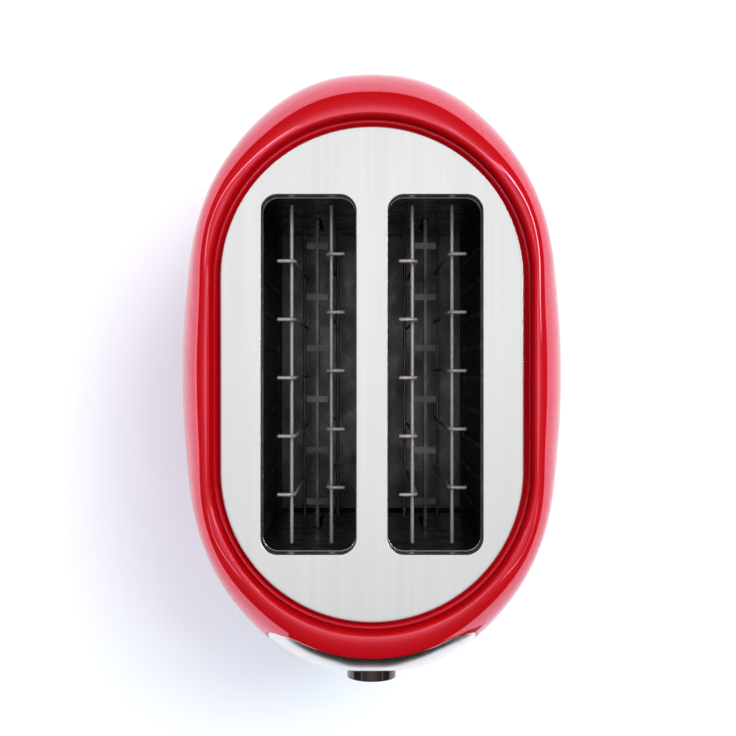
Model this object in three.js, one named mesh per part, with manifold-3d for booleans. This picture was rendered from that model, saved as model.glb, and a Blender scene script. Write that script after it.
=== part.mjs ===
// Two-slice toaster as an assembly of its separate pieces. Millimetres, +Z up, front towards -Y.
import * as THREE from 'three';
import { mergeVertices } from 'three/addons/utils/BufferGeometryUtils.js';
import Module from 'manifold-3d';

const wasm = await Module();
wasm.setup();

// Clearances and helpers shared by all pieces
const SEAT_GAP = 0.3;
const OVERRUN = 2;
const MERGE_TOLERANCE = 0.0001;

// Sides of round pieces and holes, by size
const HOLE_SIDES = 10;
const SHAFT_SIDES = 12;
const ROUND_SIDES = 16;
const WIDE_SIDES = 24;
const RING_SIDES = 32;
const CORNER_STEPS = 4;
const ARCH_STEPS = 6;

// Body: heights of its levels and its half sizes there
const FOOT_HEIGHT = 5;
const BASE_RISE = 9;
const WIDEST_RISE = 111;
const CROWN_RISE = 65;
const WIDEST_HALF_WIDTH = 81.7;
const WIDEST_HALF_LENGTH = 129.5;
const BASE_TUCK = 4.3;
const RIM_WIDTH = 3.65;
const SHELL_WALL = 1.2;
const TUCK_POWER = 3;
const CROWN_POWER = 2.17;
const OUTLINE_POWER = 2.3;
const OVAL_POWER = 0.37;
const BODY_SIDES = 48;

// Top plate and its two slots
const PLATE_SIDE_ROOM = 20.85;
const PLATE_END_ROOM = 30;
const PLATE_THICKNESS = 1.2;
const PLATE_DEPTH = 4;
const LEDGE_THICKNESS = 1.5;
const LEDGE_WIDTH = 4;
const CHANNEL_WALL = 1.6;
const SLOT_END_ROOM = 57.5;
const SLOT_INNER_X = 6.4;
const SLOT_CORNER = 6.5;
const SLOT_RIM_WALL = 1;
const SLOT_RIM_LIP = 0.8;
const SLOT_RIM_DROP = 9;

// Control panel and its opening in the shell
const PANEL_SIDE_ROOM = 38.1;
const PANEL_CORNER = 14.6;
const PANEL_TOP_DROP = 4;
const PANEL_LAP = 3;
const PANEL_TOP_LAP = 1;
const PANEL_THICKNESS = 1;

// Lever opening, knob and travel
const KNOB_RADIUS = 11;
const KNOB_LENGTH = 13;
const KNOB_PROUD = 7.8;
const KNOB_SOCKET_SHARE = 0.4;
const KNOB_HEIGHT = 122;
const KNOB_LOW_HEIGHT = 70;
const TRACK_SIDE_ROOM = 0.8;
const TRACK_END_ROOM = 2;
const TRACK_DEPTH = 6.5;
const TRACK_WALL = 1.3;
const TRACK_CORNER = 7;
const SURROUND_WIDTH = 1.6;
const SURROUND_THICKNESS = 1.8;
const STEM_WIDTH = 4;
const STEM_HEIGHT = 8;

// Dial, its ring and the control behind it
const DIAL_DROP = 22;
const DIAL_RADIUS_SHARE = 0.317;
const DIAL_LENGTH = 12;
const DIAL_FLUTES = 18;
const FLUTE_STEPS = 3;
const DIAL_FLUTE_DEPTH = 0.5;
const DIAL_EDGE = 1.2;
const DIAL_ROOM = 0.6;
const DIAL_RING_WIDTH = 2.2;
const DIAL_RING_THICKNESS = 0.8;
const SHAFT_RADIUS = 3;
const SHAFT_GRIP = 7;
const CONTROL_RADIUS = 8;
const CONTROL_LENGTH = 6.5;

// Push buttons and their switches
const BUTTON_RADIUS_SHARE = 0.11;
const BUTTON_STEM_RADIUS = 2.5;
const BUTTON_STEM_LENGTH = 2;
const BUTTON_PROUD = 3.2;
const BUTTON_ACROSS_SHARE = 0.6;
const BUTTON_RISE = 10;
const BUTTON_TRAVEL = 2;
const BUTTON_COLLAR = 1.3;
const BUTTON_COLLAR_LENGTH = 1.5;
const SWITCH_SIZE = 6;
const SWITCH_LENGTH = 3.5;

// Chassis: end plates, reflectors, heater boards and their ribbons
const SHEET = 1.2;
const CHASSIS_SIDE_ROOM = 26.2;
const CHASSIS_LIFT = 14;
const END_PLATE_SET_BACK = 1;
const LEG_WIDTH = 7;
const FLANGE_LENGTH = 8;
const REFLECTOR_THICKNESS = 1;
const BOARD_THICKNESS = 1;
const BOARD_BOTTOM = 26;
const BOARD_TOP = 168;
const BOARD_SIDE_ROOM = 7;
const BOARD_OUTER_ROOM = 4.1;
const BOARD_INNER_ROOM = 2.4;
const RIBBON_TURNS = 9;
const RIBBON_WIDTH = 2.4;
const RIBBON_THICKNESS = 0.4;
const RIBBON_START_SHARE = 0.75;
const NOTCH_DEPTH = 2.5;

// Bread guards
const WIRE_RADIUS = 0.9;
const WIRE_SIDES = 6;
const GUARD_OFFSET_SHARE = 0.221;
const GUARD_BASE_HEIGHT = 38;
const GUARD_TOP_HEIGHT = 157;
const GUARD_TOP_ROOM = 0.5;
const GUARD_UPRIGHTS = 5;
const GUARD_PITCH_SHARE = 0.1694;
const GUARD_SHIFT = 1.5;
const TIP_REACH_SHARE = 0.192;
const TIP_RISE = 5.6;
const TIP_BEND = 1.5;
const TIP_STEPS = 5;
const WELD_SHARE = 0.85;

// Bread racks
const RACK_DROP = 32;
const RACK_DEPTH = 10;
const RACK_THICKNESS = 1.5;
const RACK_TAB_ROOM = 3.4;
const RACK_TAB_LENGTH = 3;
const RACK_TABS = 6;
const RACK_ARM_HEIGHT = 6;
const RACK_ARM_REACH = 4;
const RACK_ROOM = 0.8;

// Carriage, its rod and spring
const CARRIAGE_SIDE_ROOM = 7.6;
const CARRIAGE_THICKNESS = 1.5;
const CARRIAGE_GAP = 2.8;
const CARRIAGE_TOP_RISE = 12;
const BUSH_WIDTH = 16;
const BUSH_DEPTH = 16;
const BUSH_DROP = 14;
const ROD_RADIUS = 2.5;
const ROD_TOP = 171;
const ROD_SOCKET_WALL = 3;
const ROD_SOCKET_HEIGHT = 6;
const BRACKET_HALF_WIDTH = 10;
const BRACKET_THICKNESS = 2;
const SPRING_RADIUS = 4.6;
const SPRING_WIRE = 0.6;
const SPRING_CURLS = 10;
const CURL_STEPS = 8;
const CURL_SIDES = 5;

// Electromagnet, armature, mains switch and circuit board
const MAGNET_ACROSS = 22;
const MAGNET_WIDTH = 20;
const MAGNET_DEPTH = 11;
const MAGNET_LEG = 4;
const MAGNET_YOKE = 4;
const MAGNET_GAP = 0.5;
const ARMATURE_THICKNESS = 3;
const ARMATURE_RISE = 4;
const SWITCH_BLOCK_WIDTH = 18;
const SWITCH_BLOCK_DEPTH = 13;
const SWITCH_BLOCK_RISE = 27;
const SWITCH_BLOCK_SLOT = 8;
const CIRCUIT_WIDTH_SHARE = 0.8;
const CIRCUIT_FOOT_HALF_WIDTH = 20;
const CIRCUIT_TOP = 58;
const CIRCUIT_THICKNESS = 1.6;

// Base pan, feet and screws
const PAN_SET_IN = 0.6;
const PAN_TUCK = 5;
const PAN_WALL = 2;
const PAN_FLOOR = 1.8;
const FOOT_RADIUS = 8;
const FOOT_TAPER = 1.2;
const FOOT_SIDE_ROOM = 39.7;
const FOOT_END_ROOM = 43.5;
const SCREW_RADIUS = 1.6;
const SCREW_ROOM = 0.3;
const SCREW_HEAD_RADIUS = 3.4;
const SCREW_HEAD_HEIGHT = 1.8;
const SCREW_LENGTH = 7;
const SCREW_SIDES = 8;
const VENT_COUNT = 5;
const VENT_LENGTH = 40;
const VENT_WIDTH = 3;
const VENT_PITCH = 9;
const VENT_STEPS = 2;

// Crumb tray and its handle
const TRAY_LEG_ROOM = 1.5;
const TRAY_ROOM = 0.4;
const TRAY_SHEET = 1;
const TRAY_HEIGHT = 5.6;
const TRAY_SIDE_ROOM = 1.5;
const HANDLE_HALF_WIDTH = 24;
const HANDLE_PROUD = 8.5;
const HANDLE_SHEET = 2;
const HANDLE_LIP = 10;
const HANDLE_CORNER = 4;

// Cord inlet bush
const INLET_HEIGHT = 30;
const INLET_RADIUS = 5;
const INLET_BORE = 3;
const INLET_FLANGE = 2.5;
const INLET_FLANGE_LENGTH = 2;
const INLET_LENGTH = 9;

// Heights and places that follow from the sizes above
const BASE_Z = FOOT_HEIGHT + BASE_RISE;
const WIDEST_Z = BASE_Z + WIDEST_RISE;
const CREST_Z = WIDEST_Z + CROWN_RISE;
const PLATE_Z = CREST_Z - PLATE_DEPTH;
const LEDGE_Z = PLATE_Z - PLATE_THICKNESS - SEAT_GAP;
const CEILING_Z = LEDGE_Z - LEDGE_THICKNESS;
const HANDLE_REACH = WIDEST_HALF_LENGTH + HANDLE_PROUD;
const PLATE_HALF_WIDTH = WIDEST_HALF_WIDTH - PLATE_SIDE_ROOM;
const PLATE_HALF_LENGTH = WIDEST_HALF_LENGTH - PLATE_END_ROOM;
const RIM_HALF_WIDTH = PLATE_HALF_WIDTH + RIM_WIDTH;
const RIM_HALF_LENGTH = PLATE_HALF_LENGTH + RIM_WIDTH;
const CHASSIS_HALF_WIDTH = WIDEST_HALF_WIDTH - CHASSIS_SIDE_ROOM;
const BOARD_OUTER_X = CHASSIS_HALF_WIDTH - BOARD_SIDE_ROOM;
const BOARD_INNER_X = SLOT_INNER_X - BOARD_INNER_ROOM;
const SLOT_OUTER_X = BOARD_OUTER_X - BOARD_OUTER_ROOM;
const SLOT_WIDTH = SLOT_OUTER_X - SLOT_INNER_X;
const SLOT_LENGTH = 2 * (WIDEST_HALF_LENGTH - SLOT_END_ROOM);
const SLOT_X = (SLOT_INNER_X + SLOT_OUTER_X) / 2;
const SLOT_BOTTOM_Z = PLATE_Z - SLOT_RIM_DROP;
const GUARD_OFFSET = SLOT_WIDTH * GUARD_OFFSET_SHARE;
const GUARD_PITCH = SLOT_LENGTH * GUARD_PITCH_SHARE;
const TIP_REACH = SLOT_WIDTH * TIP_REACH_SHARE;
const CARRIAGE_HALF_WIDTH = SLOT_X + CARRIAGE_SIDE_ROOM;
const TRAY_HALF_WIDTH = CHASSIS_HALF_WIDTH - LEG_WIDTH - TRAY_LEG_ROOM;
const FOOT_ACROSS = WIDEST_HALF_WIDTH - FOOT_SIDE_ROOM;
const FOOT_ALONG = WIDEST_HALF_LENGTH - FOOT_END_ROOM;
const LEVER_TRAVEL = KNOB_HEIGHT - KNOB_LOW_HEIGHT;
const RACK_HEIGHT = KNOB_HEIGHT - RACK_DROP;
const TRACK_HALF_WIDTH = KNOB_RADIUS + TRACK_SIDE_ROOM;
const TRACK_TOP = KNOB_HEIGHT + KNOB_RADIUS + TRACK_END_ROOM;
const TRACK_BOTTOM = KNOB_LOW_HEIGHT - KNOB_RADIUS - TRACK_END_ROOM;
const TRACK_CENTRE = (TRACK_TOP + TRACK_BOTTOM) / 2;
const TRACK_HALF_HEIGHT = (TRACK_TOP - TRACK_BOTTOM) / 2;
const PANEL_HALF_WIDTH = WIDEST_HALF_WIDTH - PANEL_SIDE_ROOM;
const DIAL_HEIGHT = TRACK_BOTTOM - DIAL_DROP;
const DIAL_RADIUS = DIAL_RADIUS_SHARE * Math.sqrt(PANEL_HALF_WIDTH * (TRACK_BOTTOM - BASE_Z));
const BUTTON_RADIUS = PANEL_HALF_WIDTH * BUTTON_RADIUS_SHARE;
const BUTTON_ACROSS = PANEL_HALF_WIDTH * BUTTON_ACROSS_SHARE;
const CIRCUIT_HALF_WIDTH = PANEL_HALF_WIDTH * CIRCUIT_WIDTH_SHARE;
const PANEL_INSET = SHELL_WALL + SEAT_GAP;
const PANEL_BACK_INSET = PANEL_INSET + PANEL_THICKNESS;
const PANEL_TOP_Z = CREST_Z - PANEL_TOP_DROP;
const END_PLATE_Y = SLOT_LENGTH / 2 + END_PLATE_SET_BACK;
const END_PLATE_BACK_Y = END_PLATE_Y + SHEET;
const END_PLATE_TOP_Z = SLOT_BOTTOM_Z - SEAT_GAP;
const INNER_HALF_LENGTH = END_PLATE_Y - SEAT_GAP;
const PAN_FLOOR_Z = FOOT_HEIGHT + PAN_FLOOR;
const FLOOR_SEAT_Z = PAN_FLOOR_Z + SEAT_GAP;
const CARRIAGE_BACK_Y = -END_PLATE_BACK_Y - CARRIAGE_GAP;
const CARRIAGE_FRONT_Y = CARRIAGE_BACK_Y - CARRIAGE_THICKNESS;
const BUSH_FRONT_Y = CARRIAGE_FRONT_Y - BUSH_DEPTH;
const ROD_Y = (CARRIAGE_FRONT_Y + BUSH_FRONT_Y) / 2;
const CARRIAGE_TOP_Z = KNOB_HEIGHT + CARRIAGE_TOP_RISE;
const CARRIAGE_BOTTOM_Z = RACK_HEIGHT - RACK_DEPTH;
const BUSH_BOTTOM_Z = KNOB_HEIGHT - BUSH_DROP;

// Body outline as functions of height and angle

function stadiumReach(angle, halfWidth, halfLength) {
  const straight = halfLength - halfWidth;
  const across = Math.abs(Math.cos(angle));
  const along = Math.abs(Math.sin(angle));
  if (halfWidth * along <= straight * across) {
    return halfWidth / across;
  }
  const chord = halfWidth ** 2 - (straight * across) ** 2;
  return straight * along + Math.sqrt(chord);
}

function ovalReach(angle, halfWidth, halfLength) {
  const across = (Math.abs(Math.cos(angle)) / halfWidth) ** OUTLINE_POWER;
  const along = (Math.abs(Math.sin(angle)) / halfLength) ** OUTLINE_POWER;
  return (across + along) ** (-1 / OUTLINE_POWER);
}

function between(low, high, share) {
  return low + (high - low) * share;
}

// Half sizes at a height of the surface that lies inset from the body's outside, and how oval it is
function bodyLevel(z, inset = 0) {
  if (z <= WIDEST_Z) {
    const share = ((WIDEST_Z - z) / WIDEST_RISE) ** TUCK_POWER;
    return {
      halfWidth: WIDEST_HALF_WIDTH - share * BASE_TUCK - inset,
      halfLength: WIDEST_HALF_LENGTH - share * BASE_TUCK - inset,
      ovalShare: 1,
    };
  }
  const upShare = Math.min(1, (z - WIDEST_Z) / (CROWN_RISE - inset));
  const outShare = (1 - upShare ** CROWN_POWER) ** (1 / CROWN_POWER);
  return {
    halfWidth: between(RIM_HALF_WIDTH, WIDEST_HALF_WIDTH, outShare) - inset,
    halfLength: between(RIM_HALF_LENGTH, WIDEST_HALF_LENGTH, outShare) - inset,
    ovalShare: outShare ** OVAL_POWER,
  };
}

function outlineSection(z, sizes) {
  const section = [];
  for (let side = 0; side < BODY_SIDES; side += 1) {
    const angle = (2 * Math.PI * side) / BODY_SIDES;
    const oval = ovalReach(angle, sizes.halfWidth, sizes.halfLength);
    const stadium = stadiumReach(angle, sizes.halfWidth, sizes.halfLength);
    const reach = between(stadium, oval, sizes.ovalShare);
    section.push(new THREE.Vector3(reach * Math.cos(angle), reach * Math.sin(angle), z));
  }
  return section;
}

// Heights of the sections between bottom and top, at the same shares of the rise for every inset
function bodyHeights(inset, bottom, top) {
  const lowShares = [0, 0.25, 0.6, 1];
  const crownShares = [0.25, 0.47, 0.66, 0.81, 0.91, 0.97];
  const low = lowShares.map((share) => BASE_Z + share * WIDEST_RISE);
  const crown = crownShares.map((share) => WIDEST_Z + share * (CROWN_RISE - inset));
  const inside = [...low, ...crown].filter((z) => z > bottom + SEAT_GAP && z < top - SEAT_GAP);
  return [bottom, ...inside, top];
}

// Solids

function toSolid(geometry) {
  const bare = geometry.clone();
  bare.deleteAttribute('normal');
  bare.deleteAttribute('uv');
  const merged = mergeVertices(bare, MERGE_TOLERANCE);
  const mesh = new wasm.Mesh({
    numProp: 3,
    vertProperties: new Float32Array(merged.attributes.position.array),
    triVerts: new Uint32Array(merged.index.array),
  });
  return new wasm.Manifold(mesh);
}

function toGeometry(solid) {
  const mesh = solid.getMesh();
  const places = new Float32Array(mesh.vertProperties);
  const geometry = new THREE.BufferGeometry();
  geometry.setAttribute('position', new THREE.BufferAttribute(places, 3));
  geometry.setIndex(new THREE.BufferAttribute(new Uint32Array(mesh.triVerts), 1));
  geometry.computeVertexNormals();
  return geometry;
}

function joinAll(solids) {
  return solids.reduce((sum, solid) => sum.add(solid));
}

// A closed solid through sections of equal count, bottom first, anticlockwise from above
function loft(sections) {
  const count = sections[0].length;
  const positions = [];
  const triangles = [];
  sections.flat().forEach((point) => positions.push(point.x, point.y, point.z));
  for (let level = 0; level + 1 < sections.length; level += 1) {
    for (let side = 0; side < count; side += 1) {
      const next = (side + 1) % count;
      const low = level * count;
      const high = low + count;
      triangles.push(low + side, low + next, high + next);
      triangles.push(low + side, high + next, high + side);
    }
  }
  const bottomCentre = sections.flat().length;
  const topCentre = bottomCentre + 1;
  const topStart = (sections.length - 1) * count;
  positions.push(0, 0, sections[0][0].z);
  positions.push(0, 0, sections[sections.length - 1][0].z);
  for (let side = 0; side < count; side += 1) {
    const next = (side + 1) % count;
    triangles.push(bottomCentre, next, side);
    triangles.push(topCentre, topStart + side, topStart + next);
  }
  const geometry = new THREE.BufferGeometry();
  geometry.setAttribute('position', new THREE.BufferAttribute(new Float32Array(positions), 3));
  geometry.setIndex(triangles);
  return toSolid(geometry);
}

function bodyLoft(inset, bottom, top) {
  return loft(bodyHeights(inset, bottom, top).map((z) => outlineSection(z, bodyLevel(z, inset))));
}

function stadiumSection(halfWidth, halfLength, z) {
  return outlineSection(z, { halfWidth, halfLength, ovalShare: 0 });
}

function polygon(radius, sides, centreX = 0, centreY = 0) {
  const points = [];
  for (let side = 0; side < sides; side += 1) {
    const angle = (2 * Math.PI * side) / sides;
    const x = centreX + radius * Math.cos(angle);
    points.push(new THREE.Vector2(x, centreY + radius * Math.sin(angle)));
  }
  return points;
}

// A rectangle with round corners as a list of points
function roundedRectangle(halfWidth, halfHeight, radius, centreX = 0, centreY = 0, steps = CORNER_STEPS) {
  const points = [];
  const quarter = Math.PI / 2;
  for (let corner = 0; corner < 4; corner += 1) {
    const signX = corner === 0 || corner === 3 ? 1 : -1;
    const signY = corner < 2 ? 1 : -1;
    for (let step = 0; step <= steps; step += 1) {
      const angle = quarter * (corner + step / steps);
      const x = centreX + signX * (halfWidth - radius) + radius * Math.cos(angle);
      const y = centreY + signY * (halfHeight - radius) + radius * Math.sin(angle);
      points.push(new THREE.Vector2(x, y));
    }
  }
  return points;
}

function extrudeUp(points, bottom, top) {
  const shape = new THREE.Shape(points);
  const geometry = new THREE.ExtrudeGeometry(shape, { depth: top - bottom, bevelEnabled: false });
  return toSolid(geometry.translate(0, 0, bottom));
}

// An outline drawn in x and z, extruded from yLow to yHigh
function extrudeBack(points, yLow, yHigh) {
  const shape = new THREE.Shape(points);
  const geometry = new THREE.ExtrudeGeometry(shape, { depth: yHigh - yLow, bevelEnabled: false });
  return toSolid(geometry.rotateX(Math.PI / 2).translate(0, yHigh, 0));
}

function box(xLow, xHigh, yLow, yHigh, zLow, zHigh) {
  const geometry = new THREE.BoxGeometry(xHigh - xLow, yHigh - yLow, zHigh - zLow);
  const centre = [(xLow + xHigh) / 2, (yLow + yHigh) / 2, (zLow + zHigh) / 2];
  return toSolid(geometry.translate(...centre));
}

// A revolved solid on a vertical axis, its profile given as radius and height from the bottom up
function turned(profile, sides = ROUND_SIDES) {
  const points = profile.map(([radius, height]) => new THREE.Vector2(radius, height));
  const geometry = new THREE.LatheGeometry(points, sides);
  return toSolid(geometry.rotateX(Math.PI / 2));
}

// The same on an axis that points to the front, its heights counted from y towards the front
function turnedForward(profile, x, y, z, sides = ROUND_SIDES) {
  const points = profile.map(([radius, height]) => new THREE.Vector2(radius, height));
  const geometry = new THREE.LatheGeometry(points, sides);
  return toSolid(geometry.rotateX(Math.PI).translate(x, y, z));
}

function wire(points, steps) {
  const path = points.length > 2
    ? new THREE.CatmullRomCurve3(points, false, 'centripetal')
    : new THREE.LineCurve3(points[0], points[1]);
  const section = new THREE.Shape(polygon(WIRE_RADIUS, WIRE_SIDES));
  const settings = { steps, bevelEnabled: false, extrudePath: path };
  return toSolid(new THREE.ExtrudeGeometry(section, settings));
}

// A curved sheet that follows the body's front between two insets, cut to an outline in x and z
function frontSkin(outline, outerInset, innerInset, bottom, top) {
  const inner = bodyLoft(innerInset, bottom - OVERRUN, top + OVERRUN);
  const sheet = bodyLoft(outerInset, bottom, top).subtract(inner);
  return sheet.intersect(extrudeBack(outline, -WIDEST_HALF_LENGTH - OVERRUN, 0));
}

function frontFaceY(x, z, inset) {
  const sizes = bodyLevel(z, inset);
  const share = 1 - (Math.abs(x) / sizes.halfWidth) ** OUTLINE_POWER;
  return -sizes.halfLength * share ** (1 / OUTLINE_POWER);
}

// Materials

function finish(color, roughness, metalness) {
  return new THREE.MeshStandardMaterial({ color, roughness, metalness });
}

const materials = {
  paint: finish(0xb01018, 0.25, 0.1),
  brushed: finish(0xd4d4d4, 0.4, 0.9),
  chrome: finish(0xe6e6e8, 0.12, 1),
  sheet: finish(0x9a9a9c, 0.35, 0.9),
  wire: finish(0xb4b4b6, 0.3, 0.95),
  mica: finish(0x8f887c, 0.7, 0),
  ribbon: finish(0x6d6a66, 0.4, 0.8),
  black: finish(0x17171a, 0.5, 0),
  knob: finish(0x1b1516, 0.15, 0.2),
  rubber: finish(0x121212, 0.9, 0),
  board: finish(0x2f5a38, 0.6, 0),
  copper: finish(0xa8642c, 0.4, 0.8),
  steel: finish(0x77777a, 0.4, 0.9),
};

const toaster = new THREE.Group();

function addPiece(name, solid, material) {
  const mesh = new THREE.Mesh(toGeometry(solid), material);
  mesh.name = name;
  toaster.add(mesh);
}

function addGeometry(name, geometry, material) {
  const mesh = new THREE.Mesh(geometry, material);
  mesh.name = name;
  toaster.add(mesh);
}

// Body shell: painted, open below, with the plate's recess on top and the panel's opening in front

function panelOutline(grow, bottom) {
  const halfWidth = PANEL_HALF_WIDTH + grow;
  const top = PANEL_TOP_Z + grow;
  const radius = PANEL_CORNER + grow;
  const points = [new THREE.Vector2(-halfWidth, bottom), new THREE.Vector2(halfWidth, bottom)];
  for (let side = 0; side < 2; side += 1) {
    const sign = side === 0 ? 1 : -1;
    for (let step = 0; step <= ARCH_STEPS; step += 1) {
      const angle = (Math.PI / 2) * (side + step / ARCH_STEPS);
      const x = sign * (halfWidth - radius) + radius * Math.cos(angle);
      points.push(new THREE.Vector2(x, top - radius + radius * Math.sin(angle)));
    }
  }
  return points;
}

function plateRecess() {
  const seatWidth = PLATE_HALF_WIDTH + SEAT_GAP;
  const seatLength = PLATE_HALF_LENGTH + SEAT_GAP;
  const spread = RIM_WIDTH - SEAT_GAP;
  const profileShares = [[0, 0], [0, 0.4], [0.25, 0.75], [0.75, 0.97], [1.35, 1.12]];
  const sections = profileShares.map(([outShare, upShare]) => {
    const out = outShare * spread;
    return stadiumSection(seatWidth + out, seatLength + out, between(LEDGE_Z, CREST_Z, upShare));
  });
  return loft(sections);
}

function addBodyShell() {
  const outer = bodyLoft(0, BASE_Z, CREST_Z);
  const coreWidth = PLATE_HALF_WIDTH + CHANNEL_WALL;
  const coreLength = PLATE_HALF_LENGTH + CHANNEL_WALL;
  const core = loft([
    stadiumSection(coreWidth, coreLength, CEILING_Z),
    stadiumSection(coreWidth, coreLength, CREST_Z),
  ]);
  const cavity = bodyLoft(SHELL_WALL, BASE_Z - OVERRUN, CREST_Z - SHELL_WALL).subtract(core);
  const holeWidth = PLATE_HALF_WIDTH - LEDGE_WIDTH;
  const holeLength = PLATE_HALF_LENGTH - LEDGE_WIDTH;
  const hole = loft([
    stadiumSection(holeWidth, holeLength, CEILING_Z - OVERRUN),
    stadiumSection(holeWidth, holeLength, LEDGE_Z + OVERRUN),
  ]);
  const window = extrudeBack(panelOutline(0, BASE_Z - OVERRUN), -WIDEST_HALF_LENGTH - OVERRUN, 0);
  const inletOutline = polygon(INLET_RADIUS + SEAT_GAP, ROUND_SIDES, 0, INLET_HEIGHT);
  const inletHole = extrudeBack(inletOutline, 0, WIDEST_HALF_LENGTH + OVERRUN);
  const shell = outer.subtract(cavity).subtract(hole).subtract(plateRecess());
  addPiece('body_shell', shell.subtract(window).subtract(inletHole), materials.paint);
}

// Top plate with two slots, each with a raised and down-turned rim

function slotOutline(centreX, grow) {
  const halfWidth = SLOT_WIDTH / 2 + grow;
  const halfLength = SLOT_LENGTH / 2 + grow;
  return roundedRectangle(halfWidth, halfLength, SLOT_CORNER + grow, centreX);
}

function addTopPlate() {
  let plate = loft([
    stadiumSection(PLATE_HALF_WIDTH, PLATE_HALF_LENGTH, PLATE_Z - PLATE_THICKNESS),
    stadiumSection(PLATE_HALF_WIDTH, PLATE_HALF_LENGTH, PLATE_Z),
  ]);
  [-SLOT_X, SLOT_X].forEach((centreX) => {
    const rim = extrudeUp(slotOutline(centreX, SLOT_RIM_WALL), SLOT_BOTTOM_Z, PLATE_Z + SLOT_RIM_LIP);
    const slot = extrudeUp(slotOutline(centreX, 0), SLOT_BOTTOM_Z - OVERRUN, PLATE_Z + OVERRUN);
    plate = plate.add(rim).subtract(slot);
  });
  addPiece('top_plate', plate, materials.brushed);
}

// Control panel with holes for the lever, the dial's shaft and the buttons

function trackOutline(grow) {
  const halfWidth = TRACK_HALF_WIDTH + grow;
  const halfHeight = TRACK_HALF_HEIGHT + grow;
  return roundedRectangle(halfWidth, halfHeight, TRACK_CORNER + grow, 0, TRACK_CENTRE);
}

function buttonPlaces() {
  const places = [];
  [-BUTTON_ACROSS, BUTTON_ACROSS].forEach((x) => {
    [BUTTON_RISE, -BUTTON_RISE].forEach((rise) => places.push([x, DIAL_HEIGHT + rise]));
  });
  return places;
}

function addControlPanel() {
  const outline = panelOutline(PANEL_LAP, BASE_Z);
  const top = PANEL_TOP_Z + PANEL_TOP_LAP;
  let panel = frontSkin(outline, PANEL_INSET, PANEL_BACK_INSET, BASE_Z, top);
  const front = -WIDEST_HALF_LENGTH - OVERRUN;
  const shaftHole = polygon(SHAFT_RADIUS + SEAT_GAP, SHAFT_SIDES, 0, DIAL_HEIGHT);
  panel = panel.subtract(extrudeBack(trackOutline(0), front, 0));
  panel = panel.subtract(extrudeBack(shaftHole, front, 0));
  buttonPlaces().forEach(([x, z]) => {
    const buttonHole = polygon(BUTTON_RADIUS + SEAT_GAP, ROUND_SIDES, x, z);
    panel = panel.subtract(extrudeBack(buttonHole, front, 0));
  });
  addPiece('control_panel', panel, materials.brushed);
}

// Dark moulded recess behind the lever opening, with a slit for the lever arm

const TRACK_FLOOR_Y = frontFaceY(0, KNOB_HEIGHT, PANEL_INSET) + TRACK_DEPTH;

function addLeverTrack() {
  const front = -WIDEST_HALF_LENGTH - OVERRUN;
  const behindPanel = bodyLoft(PANEL_BACK_INSET + SEAT_GAP, TRACK_BOTTOM - OVERRUN - TRACK_WALL,
    TRACK_TOP + OVERRUN + TRACK_WALL);
  const outer = extrudeBack(trackOutline(TRACK_WALL), front, TRACK_FLOOR_Y + TRACK_WALL);
  const inner = extrudeBack(trackOutline(0), front - OVERRUN, TRACK_FLOOR_Y);
  const slitHalfWidth = STEM_WIDTH / 2 + TRACK_SIDE_ROOM;
  const slitHalfHeight = (LEVER_TRAVEL + STEM_HEIGHT) / 2 + TRACK_END_ROOM;
  const slitCentre = KNOB_HEIGHT - LEVER_TRAVEL / 2;
  const slitOutline = roundedRectangle(slitHalfWidth, slitHalfHeight, slitHalfWidth, 0, slitCentre);
  const slit = extrudeBack(slitOutline, front, 0);
  const track = outer.intersect(behindPanel).subtract(inner).subtract(slit);
  addPiece('lever_track', track, materials.black);
}

function addLeverSurround() {
  const low = TRACK_BOTTOM - SURROUND_WIDTH - OVERRUN;
  const high = TRACK_TOP + SURROUND_WIDTH + OVERRUN;
  const back = PANEL_INSET - SEAT_GAP;
  const ring = frontSkin(trackOutline(SURROUND_WIDTH), back - SURROUND_THICKNESS, back, low, high);
  const opening = extrudeBack(trackOutline(0), -WIDEST_HALF_LENGTH - OVERRUN, 0);
  addPiece('lever_surround', ring.subtract(opening), materials.chrome);
}

// Lever arm and knob

const KNOB_FRONT_Y = frontFaceY(0, KNOB_HEIGHT, PANEL_INSET) - KNOB_PROUD;
const KNOB_BACK_Y = KNOB_FRONT_Y + KNOB_LENGTH;

function addLever() {
  const armFront = KNOB_BACK_Y - KNOB_LENGTH * KNOB_SOCKET_SHARE;
  const halfWidth = STEM_WIDTH / 2;
  const halfHeight = STEM_HEIGHT / 2;
  const arm = box(-halfWidth, halfWidth, armFront, BUSH_FRONT_Y - SEAT_GAP,
    KNOB_HEIGHT - halfHeight, KNOB_HEIGHT + halfHeight);
  const roomX = halfWidth + SEAT_GAP;
  const roomZ = halfHeight + SEAT_GAP;
  const socket = box(-roomX, roomX, armFront - SEAT_GAP, KNOB_BACK_Y + OVERRUN,
    KNOB_HEIGHT - roomZ, KNOB_HEIGHT + roomZ);
  const profileShares = [[0, 0], [0.9, 0], [1, 0.08], [1, 0.92], [0.97, 0.965], [0.91, 0.985], [0, 1]];
  const profile = profileShares.map(([out, ahead]) => [out * KNOB_RADIUS, ahead * KNOB_LENGTH]);
  const knob = turnedForward(profile, 0, KNOB_BACK_Y, KNOB_HEIGHT, WIDE_SIDES);
  addPiece('lever_arm', arm, materials.steel);
  addPiece('lever_knob', knob.subtract(socket), materials.knob);
}

// Browning dial, its ring, its shaft and the control that the shaft turns in

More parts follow.
